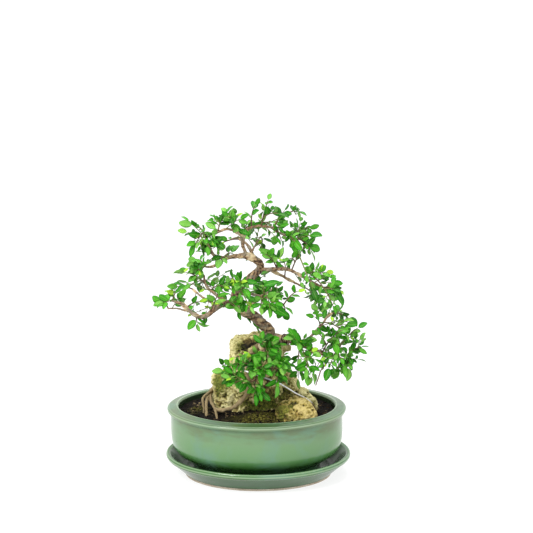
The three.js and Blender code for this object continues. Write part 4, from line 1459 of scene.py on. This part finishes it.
@dataclass
class Wires:
    """The bright wire that runs from the rock to the soil, and the one wound round a branch."""

    # Points of the bright wire
    route: str = ("-30 6 147, -28 -14 150, -18 -34 151, -2 -40 147, 10 -38 142, 29 -34 133, 50 -28 118, "
                  "64 -20 108, 74 -12 96, 79 -8 76")
    guy: float = 1.1  # radius of the bright wire
    branch: str = "rightLow"  # the branch that the dark wire winds round
    coil: float = 0.8  # radius of the dark wire
    turns: float = 3.5  # turns of the dark wire
    pitch: float = 2.6  # distance from turn to turn
    middle: float = 0.24  # share of the branch where the winding's middle is

    def build(self) -> list[Object]:
        """Make both wires.

        Returns:
            The bright wire and the dark one.
        """
        bright, dark = Shell(), Shell()
        bright.tube(Path.through(self.route), lambda s: self.guy + 0 * s, 14, 150)
        line = self.winding()
        dark.tube(Path(line), lambda s: self.coil + 0 * s, 10, len(line))
        anodised = Aluminium("anodised_aluminium_wire", "#4a3a2e", "#2c231b", 0.0)
        return [bright.piece("bright_wire", [Aluminium().make()], "bright_wire", ("guy_wire",)),
                dark.piece("wound_wire", [anodised.make()], "dark_wire", ("branch_wire",))]

    def winding(self) -> Array:
        """Points of the dark wire's centre line, wound round its branch.

        Returns:
            The points as rows of three.
        """
        limb = next(limb for limb in LIMBS if limb.name == self.branch)
        path = limb.path()
        away = limb.base + (limb.tip - limb.base) * self.middle + self.coil + 0.6
        axis = path.way(self.middle)
        side = unit(np.cross(axis, UP))
        share = np.linspace(0, 1, round(self.turns * STEPS))
        turn = (share * self.turns * FULL_TURN)[:, None]
        along = (share - 0.5) * self.turns * self.pitch
        spokes = np.cos(turn) * side + np.sin(turn) * np.cross(side, axis)
        return path.at(self.middle + along / path.length) + away * spokes


@dataclass(frozen=True)
class Softbox:
    """A square studio light: where it stands, its side and its power in watts."""

    name: str
    at: Point
    side: float
    watts: float


@dataclass
class Studio:
    """A white floor, soft lights and the camera that took the view."""

    eye: Point = (11.0, -2400.0, 833.0)  # where the camera stands
    down: float = 12.9  # how far it looks down, in degrees
    lens: float = 126.7  # the camera's focal length
    sensor: float = 36.0  # width of its sensor
    far: float = 100.0  # how far it sees, in metres
    white: float = 1.0  # strength of the white surroundings
    aim: Point = (0.0, 0.0, 0.18)  # where the lights are turned to
    half_floor: float = 30.0  # half the floor's width
    # The lights
    boxes: tuple[Softbox, ...] = (
        Softbox("key", (-1.3, -1.6, 1.9), 0.9, 55.0),
        Softbox("fill", (1.7, -1.2, 1.2), 1.2, 11.0),
        Softbox("top", (0.1, 0.5, 2.1), 1.2, 26.0),
    )

    def build(self) -> None:
        """Set up the floor, the surroundings, the lights and the camera."""
        scene = bpy.context.scene
        scene.view_settings.view_transform = "Standard"
        world = bpy.data.worlds.new("white_studio")
        world.use_nodes = True
        surroundings = world.node_tree.nodes["Background"].inputs
        surroundings["Color"].default_value = linear("#ffffff")
        surroundings["Strength"].default_value = self.white
        scene.world = world
        self.lay_floor()
        for box in self.boxes:
            light = bpy.data.lights.new(box.name, "AREA")
            light.size = box.side
            light.energy = box.watts
            lamp = put(box.name, light)
            lamp.location = box.at
            lamp.rotation_euler = (Vector(self.aim) - lamp.location).to_track_quat("-Z", "Y").to_euler()
        camera = bpy.data.cameras.new("camera")
        camera.sensor_width = self.sensor
        camera.lens = self.lens
        camera.clip_end = self.far
        holder = put("camera", camera)
        holder.location = Vector(self.eye) * MM
        holder.rotation_euler = (math.radians(90 - self.down), 0, 0)
        scene.camera = holder

    def lay_floor(self) -> None:
        """Lay a plain pale floor."""
        mesh = bpy.data.meshes.new("floor")
        half = self.half_floor
        mesh.from_pydata([(-half, -half, 0), (half, -half, 0), (half, half, 0), (-half, half, 0)], [],
                         [(0, 1, 2, 3)])
        pale = bpy.data.materials.new("matt_white_floor")
        pale.use_nodes = True
        inputs = pale.node_tree.nodes["Principled BSDF"].inputs
        for name, value in (("Base Color", linear("#8a8a8a")), ("Emission Color", linear("#ffffff")),
                            ("Roughness", 1.0), ("Specular IOR Level", 0.0), ("Emission Strength", 0.8)):
            inputs[name].default_value = value
        mesh.materials.append(pale)
        put("floor", mesh)


def main() -> None:
    """Build the studio and every piece of the bonsai."""
    logging.basicConfig(level=logging.INFO, format="%(message)s")
    Studio().build()
    SAUCER.build("glazed_saucer", "saucer")
    POT.build("glazed_pot", "pot")
    SoilBed().build()
    for stone in STONES:
        stone.build()
    Wood().build()
    Foliage().build()
    Wires().build()


if __name__ == "__main__":
    main()
